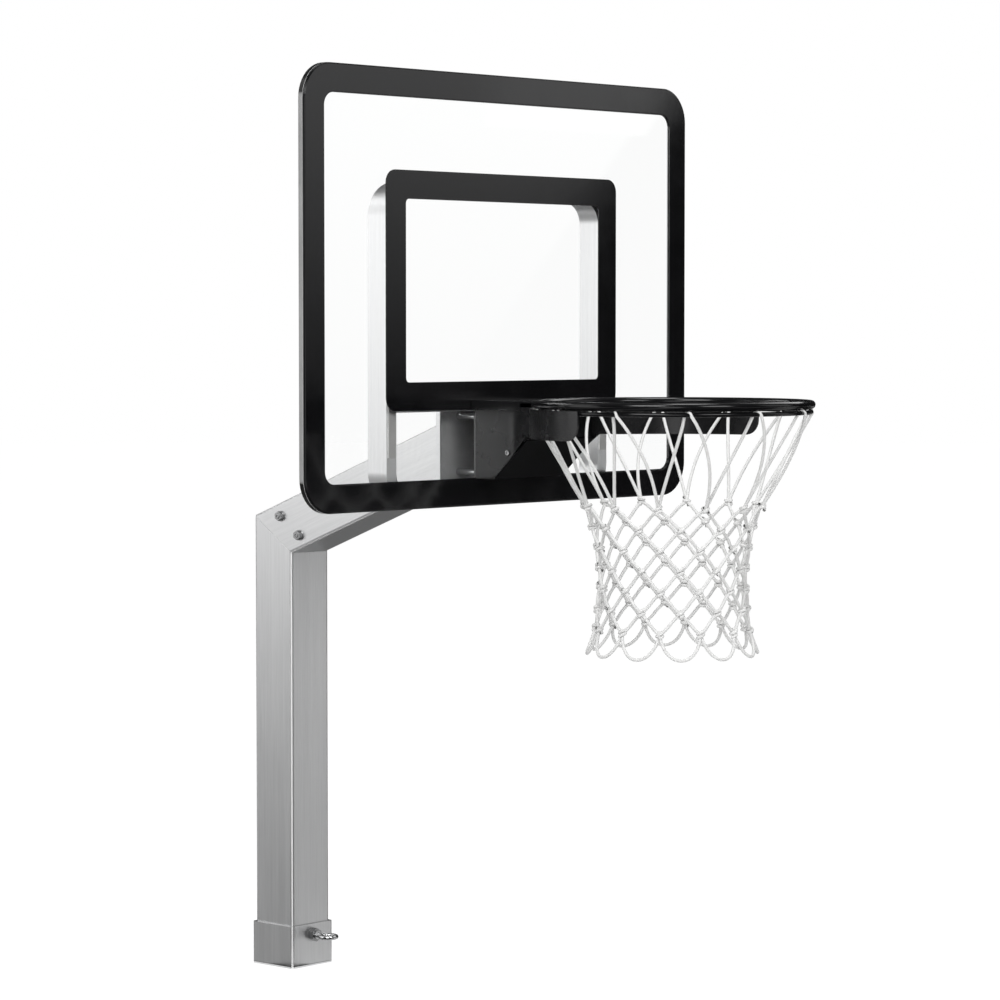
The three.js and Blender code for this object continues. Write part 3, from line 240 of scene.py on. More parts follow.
class Finish:
    """One procedural material, made node by node"""

    def __init__(self, name):
        self.material = bpy.data.materials.new(name)
        self.material.use_nodes = True
        self.nodes = self.material.node_tree.nodes
        self.links = self.material.node_tree.links
        self.shader = next(n for n in self.nodes if n.type == "BSDF_PRINCIPLED")
        self.output = next(n for n in self.nodes if n.type == "OUTPUT_MATERIAL")

    def node(self, kind, **values):
        """A new node with its settings"""
        made = self.nodes.new(kind)
        for key, value in values.items():
            setattr(made, key, value)
        return made

    def link(self, source, target):
        """Joins an output to an input"""
        self.links.new(source, target)

    def place(self, scale=(1, 1, 1), turn=(0, 0, 0)):
        """The piece's own coordinates in metres, turned and then stretched"""
        coords = self.node("ShaderNodeTexCoord")
        mapping = self.node("ShaderNodeMapping")
        mapping.inputs["Rotation"].default_value = turn
        self.link(coords.outputs["Object"], mapping.inputs["Vector"])
        stretch = self.node("ShaderNodeVectorMath", operation="MULTIPLY")
        stretch.inputs[1].default_value = scale
        self.link(mapping.outputs["Vector"], stretch.inputs[0])
        return stretch.outputs["Vector"]

    def split(self, vector):
        """The X, Y and Z of a vector"""
        made = self.node("ShaderNodeSeparateXYZ")
        self.link(vector, made.inputs["Vector"])
        return made.outputs

    def noise(self, scale, detail=2.0, rough=0.5, over=None):
        """Soft noise, over the piece's own coordinates where no others are given"""
        made = self.node("ShaderNodeTexNoise")
        made.inputs["Scale"].default_value = scale
        made.inputs["Detail"].default_value = detail
        made.inputs["Roughness"].default_value = rough
        self.link(self.place() if over is None else over, made.inputs["Vector"])
        return made.outputs["Fac"]

    def between(self, factor, low, high):
        """The middle half of a noise, spread from low to high"""
        return self.ramp(factor, (0.25, 0.75), (low, high), smooth=False)

    def ramp(self, value, given, wanted=(0.0, 1.0), smooth=True):
        """A value taken from one range to another"""
        made = self.node("ShaderNodeMapRange", interpolation_type="SMOOTHSTEP" if smooth else "LINEAR")
        for words, (low, high) in (("From", given), ("To", wanted)):
            made.inputs[words + " Min"].default_value = low
            made.inputs[words + " Max"].default_value = high
        self.link(value, made.inputs["Value"])
        return made.outputs["Result"]

    def blend(self, factor, first, second):
        """A mix of two colours, each given as numbers or as another node's output"""
        made = self.node("ShaderNodeMix", data_type="RGBA")
        for socket, colour in (("A", first), ("B", second)):
            if isinstance(colour, tuple):
                made.inputs[socket].default_value = (*colour, 1)
            else:
                self.link(colour, made.inputs[socket])
        self.link(factor, made.inputs["Factor"])
        return made.outputs["Result"]

    def math(self, operation, first, second=None):
        """One sum, of numbers or of other nodes' outputs"""
        made = self.node("ShaderNodeMath", operation=operation)
        for socket, value in zip(made.inputs, (first, second)):
            if value is None:
                continue
            if isinstance(value, (int, float)):
                socket.default_value = value
            else:
                self.link(value, socket)
        return made.outputs["Value"]

    def total(self, *parts):
        """The total of values, each with its weight"""
        weighed = [self.math("MULTIPLY", value, weight) for value, weight in parts]
        result = weighed[0]
        for part in weighed[1:]:
            result = self.math("ADD", result, part)
        return result

    def bump(self, height, strength, distance, onto=None):
        """Relief in the surface's normal, on top of another relief where one is given"""
        made = self.node("ShaderNodeBump")
        made.inputs["Strength"].default_value = strength
        made.inputs["Distance"].default_value = distance
        self.link(height, made.inputs["Height"])
        if onto is not None:
            self.link(onto, made.inputs["Normal"])
        return made.outputs["Normal"]

    def feed(self, socket, value):
        """Drives one input of the shader"""
        self.link(value, self.shader.inputs[socket])

    def set(self, **values):
        """Sets inputs of the shader, an underscore standing for a space"""
        for key, value in values.items():
            self.shader.inputs[key.replace("_", " ")].default_value = value

    def show(self, factor, first, second):
        """Shows one shader or the other, or a mix"""
        mix = self.node("ShaderNodeMixShader")
        self.link(factor, mix.inputs["Fac"])
        self.link(first, mix.inputs[1])
        self.link(second, mix.inputs[2])
        self.link(mix.outputs["Shader"], self.output.inputs["Surface"])


def darker(colour, share):
    """A share of a colour, paler where the share is over 1"""
    return tuple(c * share for c in colour)


def corner_highlight_share(finish, axes):
    """How far a face is turned between the flats, 1 in the middle of a rounded corner: the mask of the
    painted corner highlight
    """
    normal = finish.split(finish.node("ShaderNodeNewGeometry").outputs["Normal"])
    share = None
    for axis in axes:
        square = finish.math("MULTIPLY", normal[axis], normal[axis])
        rest = finish.math("SUBTRACT", 1, square)
        ridge = finish.math("MULTIPLY", finish.math("MULTIPLY", square, 4), rest)
        share = ridge if share is None else finish.math("MAXIMUM", share, ridge)
    return finish.ramp(share, (HIGHLIGHT_FROM, HIGHLIGHT_TO))


def brushed_steel(name, colour, turn=(0, 0, 0), across=False, highlight_axes="", pale=CORNER_HIGHLIGHT):
    """Brushed stainless steel: long fine streaks in tone, gloss and relief, with a painted highlight
    that makes rounded corners pale and less metallic
    """
    finish = Finish(name)
    lines = finish.place((STREAK, 1, 1) if across else (1, 1, STREAK), turn)
    fine = finish.noise(scale=900, detail=3, rough=0.6, over=lines)
    broad = finish.noise(scale=170, over=lines)
    cloud = finish.noise(scale=7, detail=3)
    tone = finish.total((fine, 0.45), (broad, 0.4), (cloud, 0.15))
    shade = finish.blend(finish.between(tone, 0, 1), darker(colour, 0.86), darker(colour, 1.1))
    finish.feed("Roughness", finish.between(tone, 0.3, 0.42))
    relief = finish.bump(fine, strength=0.12, distance=0.0002)
    finish.feed("Normal", finish.bump(broad, strength=0.05, distance=0.0004, onto=relief))
    if highlight_axes:
        # Painted highlight: rounded corners turn pale and less metallic
        share = corner_highlight_share(finish, highlight_axes)
        shade = finish.blend(share, shade, (pale, pale, pale))
        highlight_dulling = finish.math("MULTIPLY", share, HIGHLIGHT_DULLING)
        finish.feed("Metallic", finish.math("SUBTRACT", 1, highlight_dulling))
    else:
        finish.set(Metallic=1.0)
    finish.feed("Base Color", shade)
    return finish.material


def bright_steel(name, colour):
    """Turned or rolled stainless fasteners"""
    finish = Finish(name)
    spots = finish.noise(scale=420, detail=3, rough=0.6)
    marks = finish.noise(scale=1500, over=finish.place((1, 1, 0.15)))
    finish.feed("Base Color", finish.blend(finish.between(spots, 0, 1), darker(colour, 0.85), colour))
    finish.feed("Roughness", finish.between(marks, 0.16, 0.28))
    finish.feed("Normal", finish.bump(marks, strength=0.06, distance=0.0001))
    finish.set(Metallic=1.0)
    return finish.material


def coated_black(name, colour, rough, peel=0.05, shine=0.5):
    """Black powder coat with a faint orange peel and a few duller patches"""
    finish = Finish(name)
    spots = finish.noise(scale=14, detail=4, rough=0.55)
    grain = finish.noise(scale=520)
    swell = finish.noise(scale=60)
    patches = finish.between(spots, 0, 1)
    finish.feed("Base Color", finish.blend(patches, darker(colour, 0.75), darker(colour, 1.25)))
    finish.feed("Roughness", finish.between(spots, *rough))
    relief = finish.bump(grain, strength=peel, distance=0.0003)
    finish.feed("Normal", finish.bump(swell, strength=peel, distance=0.0006, onto=relief))
    finish.set(Specular_IOR_Level=shine)
    return finish.material


def black_rubber(name):
    """Dull moulded rubber with a fine grain"""
    finish = Finish(name)
    grain = finish.noise(scale=1300, detail=3, rough=0.7)
    cloud = finish.noise(scale=60, detail=3)
    finish.feed("Base Color", finish.blend(cloud, RUBBER_LOW, RUBBER_HIGH))
    finish.feed("Roughness", finish.between(grain, 0.62, 0.86))
    finish.feed("Normal", finish.bump(grain, strength=0.3, distance=0.0003))
    return finish.material


def clear_acrylic(name, tint):
    """Cast acrylic: clear, polished and faintly wavy, and clear to shadows too"""
    finish = Finish(name)
    finish.feed("Roughness", finish.between(finish.noise(scale=9), 0.0, 0.012))
    finish.feed("Normal", finish.bump(finish.noise(scale=26), strength=0.012, distance=0.0008))
    finish.set(
        Transmission_Weight=1.0, IOR=1.03, Base_Color=(*tint, 1),
        Coat_Weight=0.35, Coat_Roughness=0.02, Coat_IOR=1.49,
    )
    path = finish.node("ShaderNodeLightPath")
    open_air = finish.node("ShaderNodeBsdfTransparent")
    finish.show(path.outputs["Is Shadow Ray"], finish.shader.outputs["BSDF"], open_air.outputs["BSDF"])
    return finish.material


def painted_edge(name):
    """The acrylic's polished edge: painted grey on the flats, standing in for the light seen in it, and
    painted dark at the corners, where the black border behind it shows through
    """
    finish = Finish(name)
    lines = finish.noise(scale=300)
    cloud = finish.noise(scale=12, detail=3)
    # Painted light and shade: grey on the flats for the light seen in the polished edge, dark at the
    # corners for the black border seen through it
    grey = finish.blend(finish.between(cloud, 0, 1), EDGE_PAINTED_LOW, EDGE_PAINTED_HIGH)
    normal = finish.split(finish.node("ShaderNodeNewGeometry").outputs["Normal"])
    flat = finish.ramp(finish.math("ABSOLUTE", normal["X"]), (EDGE_CORNER, EDGE_FLAT))
    finish.feed("Base Color", finish.blend(flat, EDGE_PAINTED_DARK, grey))
    finish.feed("Roughness", finish.between(lines, 0.12, 0.22))
    finish.feed("Normal", finish.bump(lines, strength=0.05, distance=0.0003))
    finish.set(Specular_IOR_Level=0.25)
    return finish.material


def pale_vinyl(name):
    """Smooth grey vinyl with a slight grain"""
    finish = Finish(name)
    grain = finish.noise(scale=900)
    cloud = finish.noise(scale=30, detail=3)
    finish.feed("Base Color", finish.blend(cloud, VINYL_LOW, VINYL_HIGH))
    finish.feed("Roughness", finish.between(grain, 0.4, 0.55))
    finish.feed("Normal", finish.bump(grain, strength=0.1, distance=0.0002))
    return finish.material


def braided_cord(name, colour):
    """White braided cord: crossing strands in relief, shaded between the plaits"""
    finish = Finish(name)
    along = finish.split(finish.node("ShaderNodeTexCoord").outputs["UV"])
    turns = finish.math("MULTIPLY", along["X"], 2 * math.pi / PLAIT_PITCH)
    round_it = finish.math("MULTIPLY", along["Y"], 2 * math.pi * PLAITS)
    left = finish.math("SINE", finish.math("ADD", turns, round_it))
    right = finish.math("SINE", finish.math("SUBTRACT", turns, round_it))
    plait = finish.math("MAXIMUM", left, right)
    fuzz = finish.noise(scale=2600, detail=3, rough=0.7)
    cloud = finish.noise(scale=35)
    shade = finish.between(finish.total((plait, 0.3), (cloud, 0.8)), 0, 1)
    finish.feed("Base Color", finish.blend(shade, darker(colour, 0.92), colour))
    finish.feed("Roughness", finish.between(cloud, 0.7, 0.85))
    height = finish.total((plait, 1), (fuzz, 0.4))
    finish.feed("Normal", finish.bump(height, strength=0.07, distance=0.0003))
    finish.set(Sheen_Weight=0.1, Sheen_Roughness=0.5)
    return finish.material


FINISHES = {}


def finishes():
    """Every finish by its name, made once from the settings"""
    if FINISHES:
        return FINISHES
    scene = bpy.context.scene
    steel, bright = tuple(scene.hoop_metal.steel), tuple(scene.hoop_metal.bright)
    black, clear = tuple(scene.hoop_board.black), tuple(scene.hoop_board.clear)
    arm_turn = (ARM_ANGLE - math.pi / 2, 0, 0)
    FINISHES.update(
        upright_steel=brushed_steel("upright_brushed_steel", steel),
        post_steel=brushed_steel("post_brushed_steel", steel, highlight_axes="XZ"),
        arm_steel=brushed_steel("arm_brushed_steel", steel, arm_turn, highlight_axes="X", pale=ARM_CORNER_HIGHLIGHT),
        level_steel=brushed_steel("level_brushed_steel", steel, across=True),
        bright=bright_steel("bright_steel", bright),
        gloss=coated_black("gloss_black", black, rough=(0.07, 0.12)),
        rim_gloss=coated_black("rim_gloss_black", black, rough=(0.12, 0.2), shine=0.3),
        satin=coated_black("satin_black", SATIN_GREY, rough=(0.45, 0.6), peel=0.12, shine=0.3),
        target=coated_black("target_black", black, rough=(0.08, 0.14)),
        side=coated_black("side_black", black, rough=(0.25, 0.29), peel=0.03, shine=0.42),
        # Backing plate: black satin painted a paler grey, standing in for light falling on it
        backing=coated_black("backing_black_painted_light", PLATE_PAINTED_LIGHT_GREY, rough=(0.45, 0.6), peel=0.12, shine=0.3),
        rubber=black_rubber("black_rubber"),
        acrylic=clear_acrylic("clear_acrylic", clear),
        cover=coated_black("cover_black", black, rough=(0.3, 0.4), shine=0.05),
        dull=bright_steel("dull_steel", darker(bright, DULL_SHARE)),
        acrylic_edge=painted_edge("painted_acrylic_edge"),
        vinyl=pale_vinyl("pale_vinyl"),
        cord=braided_cord("white_braided_cord", tuple(scene.hoop_net.white)),
    )
    return FINISHES


# Making pieces


def finished(bm, name, finish, body, replaced, sharp=SHARP):
    """Turns a bmesh into a smooth-shaded piece that stands for its CAD nodes"""
    bmesh.ops.recalc_face_normals(bm, faces=bm.faces)
    mesh = bpy.data.meshes.new(name)
    bm.to_mesh(mesh)
    bm.free()
    mesh.polygons.foreach_set("use_smooth", [True] * len(mesh.polygons))
    mesh.set_sharp_from_angle(angle=math.radians(sharp))
    piece = bpy.data.objects.new(name, mesh)
    bpy.context.scene.collection.objects.link(piece)
    mesh.materials.append(finishes()[finish])
    flats = piece.modifiers.new("even_flats", "WEIGHTED_NORMAL")
    flats.mode = "FACE_AREA"
    flats.weight = 50
    flats.keep_sharp = True
    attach(piece, body)
    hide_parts(*replaced)
    return piece


def sunk(bm, way, rim, depth):
    """A socket in the outermost end face along X"""
    ends = [f for f in bm.faces if f.normal.x * way > END_FACING]
    end = max(ends, key=lambda f: f.calc_center_median().x * way)
    bmesh.ops.inset_region(bm, faces=[end], thickness=rim, use_even_offset=True)
    bmesh.ops.inset_region(bm, faces=[end], thickness=SOCKET_TAPER, depth=-depth, use_even_offset=True)


def softened(node, finish, body, ease, segments=2, sharp=SHARP, socket=None):
    """The node's own solid with its flats joined up and its hard edges eased"""
    bm = bmesh.new()
    bm.from_mesh(NODES[node].data)
    bmesh.ops.remove_doubles(bm, verts=bm.verts, dist=WELD)
    bmesh.ops.dissolve_limit(bm, angle_limit=math.radians(FLAT_WITHIN), verts=bm.verts, edges=bm.edges)
    if socket:
        sunk(bm, *socket)
    joined = [e for e in bm.edges if len(e.link_faces) == 2]
    hard = [e for e in joined if e.calc_face_angle(0) > math.radians(sharp)]
    if ease > 0 and hard:
        bmesh.ops.bevel(
            bm, geom=hard, offset=ease, offset_type="OFFSET", segments=segments, profile=0.5,
            affect="EDGES", material=-1, clamp_overlap=True,
        )
    return finished(bm, "fine_" + node, finish, body, (node,), sharp)


def wear(node, finish):
    """Gives a CAD node its finish"""
    data = NODES[node].data
    data.materials.clear()
    data.materials.append(finishes()[finish])


def edged(piece, is_edge):
    """Gives the faces that pass the test the acrylic's edge finish, with its painted grey and painted
    dark
    """
    piece.data.materials.append(finishes()["acrylic_edge"])
    for face in piece.data.polygons:
        if is_edge(face):
            face.material_index = 1


def spun_rod(bm, radius, rod, height, steps, sides):
    """A round rod bent into a full ring about the vertical axis"""
    made = bmesh.ops.create_circle(bm, radius=rod, segments=sides)
    place = Matrix.Translation((radius, 0, height)) @ Matrix.Rotation(math.pi / 2, 4, "X")
    bmesh.ops.transform(bm, matrix=place, verts=made["verts"])
    edges = list(dict.fromkeys(e for v in made["verts"] for e in v.link_edges))
    bmesh.ops.spin(
        bm, geom=made["verts"] + edges, cent=(0, 0, 0), axis=(0, 0, 1), angle=2 * math.pi,
        steps=steps, use_merge=True,
    )


# Net


def on_circle(radius, turn, height):
    """A place round the ring's axis, its turn counted in steps from loop to loop"""
    angle = turn * 2 * math.pi / LOOPS
    return Vector((radius * math.cos(angle), radius * math.sin(angle), height))


def lerp(low, high, share):
    """A value part of the way from low to high"""
    return low + (high - low) * share


def shares(steps):
    """Even shares from 0 to 1"""
    return [i / steps for i in range(steps + 1)]


def row_radius(row):
    """The net's radius at a row of knots or between two: down to the waist, then out again"""
    if row < WAIST_ROW:
        share = (row - 1) / (WAIST_ROW - 1)
        eased = share * share * (3 - 2 * share)
        return lerp(KNEE, WAIST, math.sqrt(share * eased + share * (1 - share)))
    share = (row - WAIST_ROW) / (ROWS - WAIST_ROW)
    return lerp(WAIST, LAST, share * share)


def row_shift(row):
    """Every second row of knots stands half a step round"""
    return 0 if row % 2 else HALF


def knot_place(net, row, turn):
    """The middle of a knot"""
    return on_circle(row_radius(row), turn, -net.first_knot - net.row_pitch * (row - 1))


def top_loop(net, turn):
    """A loop over the lower rod: the inner strand falls to the left knot, the outer one to the right"""
    over = LOWER_ROD + net.cord * OVER_SHARE
    knee, knot_height = row_radius(1), -net.first_knot
    points = []
    for share in reversed(shares(INNER_STEPS)):
        bulge = share + INNER_BULGE_SHARE * share * (1 - share)
        points.append(on_circle(
            lerp(RING_RADIUS - over, knee, bulge),
            turn - lerp(INNER_TURN, HALF, share ** INNER_POWER),
            lerp(-LOWER_DROP - INNER_DROP, knot_height, share),
        ))
    for angle in OVER_ANGLES:
        bend = math.radians(angle)
        points.append(on_circle(
            RING_RADIUS + over * math.cos(bend),
            turn + OVER_TURN * math.cos(bend),
            over * math.sin(bend) - LOWER_DROP,
        ))
    for share in shares(OUTER_STEPS):
        sag = share - OUTER_SAG_SHARE * share * (1 - share)
        points.append(on_circle(
            lerp(RING_RADIUS + over, knee, sag),
            turn + lerp(OUTER_TURN, HALF, math.sin(math.pi / 2 * share ** OUTER_POWER)),
            lerp(-LOWER_DROP - OUTER_DROP, knot_height, share),
        ))
    return points


def net_strand(net, row, turn, step):
    """One cord between a knot and the next row's knot, a little slack"""
    first, last = knot_place(net, row, turn), knot_place(net, row + 1, turn + step * HALF)
    outward = Vector((first.x + last.x, first.y + last.y, 0)).normalized()
    points = []
    for share in shares(STRAND_STEPS):
        bent = share + STRAND_BEND_SHARE * math.sin(2 * math.pi * share)
        radius = row_radius(lerp(row, row + 1, share))
        point = on_circle(radius, turn + step * HALF * bent, lerp(first.z, last.z, share))
        points.append(point + outward * SLACK * math.sin(math.pi * share) * step)
    return points


def hem_loop(net, turn):
    """A loose U below the last row"""
    top = knot_place(net, ROWS, turn).z
    points = []
    for share in shares(HEM_STEPS):
        angle = math.pi * share
        swing = lerp(-HALF * math.cos(angle), share - HALF, HEM_EVEN_SHARE)
        drop = math.sin(angle) ** HEM_POWER
        points.append(on_circle(lerp(LAST, HEM, drop), turn + swing, top - HEM_DROP * drop))
    return points


def knot_wrap(net, row, turn):
    """The cord wound round its neighbour: a short tight coil, leaning a little"""
    place = knot_place(net, row, turn)
    outward = Vector((place.x, place.y, 0)).normalized()
    side = Vector((-outward.y, outward.x, 0))
    spread = net.cord * KNOT_SPREAD
    lean = KNOT_LEAN if (row + round(2 * turn)) % 2 else -KNOT_LEAN
    points = []
    for share in shares(KNOT_STEPS):
        angle = 2 * math.pi * (KNOT_TURNS * share + ROW_START * row + LOOP_START * turn)
        point = place + outward * spread * math.cos(angle) + side * spread * math.sin(angle)
        point.z += (share - 0.5) * KNOT_HEIGHT + lean * spread * math.sin(angle)
        points.append(point)
    return points


def pinch(point):
    """The share of its thickness that the cord keeps, squeezed between the ring and the lower rod"""
    out, up = math.hypot(point.x, point.y) - RING_RADIUS, point.z + LOWER_DROP
    if math.hypot(out, up) >= LOWER_ROD + NEAR_ROD:
        return 1.0
    if out < INSIDE_ROD and up > ABOVE_ROD:
        return SQUEEZED_SHARE
    return THINNED_SHARE if up > 0 else 1.0


def lengths_along(strands):
    """The length of cord from its start to each point of every strand"""
    lengths = []
    for points in strands:
        run = 0.0
        for i, point in enumerate(points):
            run += (point - points[i - 1]).length if i else 0.0
            lengths.append(run)
    return lengths


def cord_mesh(strands, radius):
    """Round cords along the strands as one mesh, with metres along and turns round as its UV"""
    curve = bpy.data.curves.new("net_strands", "CURVE")
    curve.dimensions = "3D"
    curve.bevel_depth = radius
    curve.bevel_resolution = CORD_SIDES // 2 - 2
    for points in strands:
        spline = curve.splines.new("POLY")
        spline.points.add(len(points) - 1)
        for target, point in zip(spline.points, points):
            target.co = (*point, 1)
            target.radius = pinch(point)
    holder = bpy.data.objects.new("net_strands", curve)
    bpy.context.scene.collection.objects.link(holder)
    bpy.context.view_layer.update()
    mesh = bpy.data.meshes.new_from_object(holder.evaluated_get(bpy.context.evaluated_depsgraph_get()))
    bpy.data.objects.remove(holder)
    bpy.data.curves.remove(curve)
    rings = sum(len(points) for points in strands)
    around = len(mesh.vertices) // rings
    if around * rings != len(mesh.vertices):
        raise RuntimeError(f"cord mesh has {len(mesh.vertices)} vertices for {rings} rings")
    lengths = lengths_along(strands)
    for layer in list(mesh.uv_layers):
        mesh.uv_layers.remove(layer)
    uv = mesh.uv_layers.new(name="cord")
    for face in mesh.polygons:
        places = [divmod(mesh.loops[i].vertex_index, around) for i in face.loop_indices]
        wraps = max(p[1] for p in places) - min(p[1] for p in places) > 1
        for i, (ring, side) in zip(face.loop_indices, places):
            turn = side + (around if wraps and side == 0 else 0)
            uv.data[i].uv = (lengths[ring], turn / around)
    return mesh


# Stage


def stood(name, bm):
    """A bmesh as an object in the scene"""
    mesh = bpy.data.meshes.new(name)
    bm.to_mesh(mesh)
    bm.free()
    thing = bpy.data.objects.new(name, mesh)
    bpy.context.scene.collection.objects.link(thing)
    return thing


class HOOP_OT_stage(bpy.types.Operator):
    """Camera, floor, studio light and the cards that the gloss reflects"""

    bl_idname = "hoop.stage"
    bl_label = "Stage"

    def execute(self, context):
        stage = context.scene.hoop_stage
        self.camera(context.scene, stage)
        context.scene.view_settings.view_transform = "Standard"
        self.world(context.scene, stage.ambient)
        self.floor()
        self.lights(stage.key)
        self.tent()
        self.cards()
        return {"FINISHED"}

    def camera(self, scene, stage):
        """The photograph's camera"""
        data = bpy.data.cameras.new("photo_camera")
        camera = bpy.data.objects.new("photo_camera", data)
        scene.collection.objects.link(camera)
        camera.location = stage.camera_place
        camera.rotation_euler = stage.camera_turn
        data.sensor_width = SENSOR_MM
        data.lens = stage.lens
        data.clip_end = SIGHT
        scene.camera = camera

    def world(self, scene, ambient):
        """White where it is seen, reflected or looked at through the panel, and dimmer as light"""
        world = bpy.data.worlds.new("studio")
        scene.world = world
        world.use_nodes = True
        nodes, links = world.node_tree.nodes, world.node_tree.links
        background = next(n for n in nodes if n.type == "BACKGROUND")
        background.inputs["Color"].default_value = (1, 1, 1, 1)
        path = nodes.new("ShaderNodeLightPath")
        seen = path.outputs["Is Camera Ray"]
        for ray in ("Is Glossy Ray", "Is Transmission Ray"):
            either = nodes.new("ShaderNodeMath")
            either.operation = "ADD"
            either.use_clamp = True
            links.new(seen, either.inputs[0])
            links.new(path.outputs[ray], either.inputs[1])
            seen = either.outputs["Value"]
        strength = nodes.new("ShaderNodeMapRange")
        strength.inputs["To Min"].default_value = ambient
        strength.inputs["To Max"].default_value = 1.0
        links.new(seen, strength.inputs["Value"])
        links.new(strength.outputs["Result"], background.inputs["Strength"])

    def floor(self):
        """A pale floor that glows where it is seen, so that it melts into the white"""
        bm = bmesh.new()
        bmesh.ops.create_circle(bm, cap_ends=True, radius=FLOOR_RADIUS, segments=FLOOR_STEPS)
        floor = stood("floor", bm)
        floor.location.z = -FLOOR_DROP
        finish = Finish("pale_floor")
        grain = finish.noise(scale=3)
        finish.feed("Base Color", finish.blend(grain, FLOOR_LOW, FLOOR_HIGH))
        finish.set(Roughness=0.9, Specular_IOR_Level=0.0)
        path = finish.node("ShaderNodeLightPath")
        seen = finish.math("ADD", path.outputs["Is Camera Ray"], path.outputs["Is Glossy Ray"])
        seen = finish.math("ADD", seen, path.outputs["Is Transmission Ray"])
        seen = finish.math("MULTIPLY", seen, FLOOR_SEEN_SHARE)
        seen = finish.math("MINIMUM", seen, FLOOR_SEEN_SHARE)
        glow = finish.node("ShaderNodeEmission")
        glow.inputs["Strength"].default_value = FLOOR_GLOW
        finish.show(seen, finish.shader.outputs["BSDF"], glow.outputs["Emission"])
        floor.data.materials.append(finish.material)

    def lights(self, key):
        """Area lights: name, place, width, depth and power"""
        plan = (
            ("key_light", (-4.2, -2.2, 4.6), 2.4, 2.4, key),
            ("fill_light", (-1.2, -5.6, 3.4), 2.0, 2.0, key * FILL_SHARE),
            ("top_light", (0.4, -1.2, 5.2), 2.2, 1.2, key * TOP_SHARE),
        )
        for name, place, width, depth, power in plan:
            data = bpy.data.lights.new(name, "AREA")
            data.shape = "RECTANGLE"
            data.size, data.size_y = width, depth
            data.energy = power
            light = bpy.data.objects.new(name, data)
            light.location = place
            aim = LIGHT_AIM - Vector(place)
            light.rotation_euler = aim.to_track_quat("-Z", "Y").to_euler()
            bpy.context.scene.collection.objects.link(light)

    def mirrored(self, thing, finish, glow):
        """Lets only reflections see the glow, straight or through the panel"""
        for ray in ("camera", "diffuse", "volume_scatter", "shadow"):
            setattr(thing, "visible_" + ray, False)
        path = finish.node("ShaderNodeLightPath")
        open_air = finish.node("ShaderNodeBsdfTransparent")
        reflected = finish.math("MINIMUM", path.outputs["Glossy Depth"], 1)
        finish.show(reflected, open_air.outputs["BSDF"], glow.outputs["Emission"])
        finish.nodes.remove(finish.shader)
        thing.data.materials.append(finish.material)

    def tent(self):
        """A dark tent that only reflections see, paler overhead"""
        bm = bmesh.new()
        bmesh.ops.create_uvsphere(bm, u_segments=48, v_segments=24, radius=TENT_RADIUS)
        tent = stood("tent", bm)
        finish = Finish("tent_cloth")
        height = finish.split(finish.place())["Z"]
        glow = finish.node("ShaderNodeEmission")
        light = finish.ramp(height, (TENT_LOW, TENT_HIGH), (TENT_DARK, TENT_LIT))
        finish.link(light, glow.inputs["Strength"])
        self.mirrored(tent, finish, glow)

    def card(self, name, corners, glow, rise=None, dim=0.0):
        """A card that only reflections see, its glow rising from a dim share between two heights"""
        bm = bmesh.new()
        bm.faces.new([bm.verts.new(c) for c in corners])
        card = stood(name, bm)
        finish = Finish("card_" + name)
        light = finish.node("ShaderNodeEmission")
        light.inputs["Strength"].default_value = glow
        if rise:
            height = finish.split(finish.place())["Z"]
            finish.link(finish.ramp(height, rise, (glow * dim, glow)), light.inputs["Strength"])
        self.mirrored(card, finish, light)

    def wall(self, name, outline, glow, gap=0.0, **fade):
        """A card in the upright plane before the hoop, its outline in X and Z"""
        self.card(name, [Vector((x, CARD_WALL + gap, z)) for x, z in outline], glow, **fade)

    def deck(self, name, outline, height, glow):
        """A card lying just over the floor, its outline in X and Y"""
        self.card(name, [Vector((x, y, height)) for x, y in outline], glow)

    def screen(self, name, foot, head, heights, glow, **fade):
        """A card from its foot line up to its head line, both in X and Y"""
        low, high = heights
        corners = [Vector((x, y, low)) for x, y in foot] + [Vector((x, y, high)) for x, y in head]
        self.card(name, corners, glow, **fade)

    def cards(self):
        """The cards, placed by where the hoop's faces mirror them to the photograph's camera"""
        self.wall(
            "pale_upper", ((1.4, 1.06), (3.14, 1.06), (4.8, 2.68), (4.8, 3.6), (1.4, 3.6)),
            glow=1.05, rise=(0.85, 2.3), dim=0.1,
        )
        self.wall("grey_low", ((2.4, 0.44), (7.0, 0.44), (7.0, -0.6), (2.4, -0.6)), glow=1.7)
        self.wall(
            "upper_right", ((3.2, 1.86), (3.98, 1.86), (4.3, 2.2), (4.3, 2.5), (3.2, 2.5)),
            glow=1.2, gap=CARD_GAP,
        )
        self.wall(
            "post_glow", ((3.15, 0.1), (3.8, 0.1), (3.8, 0.57), (3.15, 0.57)),
            glow=2.3, gap=CARD_GAP,
        )
        self.deck(
            "dark_deck", ((-5.0, -5.2), (8.0, -5.2), (8.0, 0.7), (0.0, 0.7), (-5.0, -0.6)),
            height=0.003, glow=0.03,
        )
        self.deck(
            "grey_front_deck", ((-0.05, -0.08), (0.06, -0.02), (3.9, -2.8), (3.9, -3.56), (2.1, -3.56)),
            height=0.004, glow=0.66,
        )
        self.deck(
            "camera_deck", ((-0.33, -0.26), (-0.26, -0.33), (-3.6, -4.6), (-4.6, -3.6)),
            height=0.005, glow=0.8,
        )
        self.deck(
            "dim_right_deck", ((0.1, 0.2), (8.0, 0.2), (8.0, 6.0), (0.1, 6.0)),
            height=0.004, glow=0.2,
        )
        self.screen(
            "high_back", foot=((-1.7, 3.4), (0.2, 3.6)), head=((0.2, 3.0), (-1.7, 2.8)),
            heights=(2.7, 4.3), glow=4.0,
        )
        self.screen(
            "high_right", foot=((3.5, -1.6), (3.5, 0.4)), head=((2.9, 0.4), (2.9, -1.6)),
            heights=(2.7, 4.3), glow=3.0,
        )
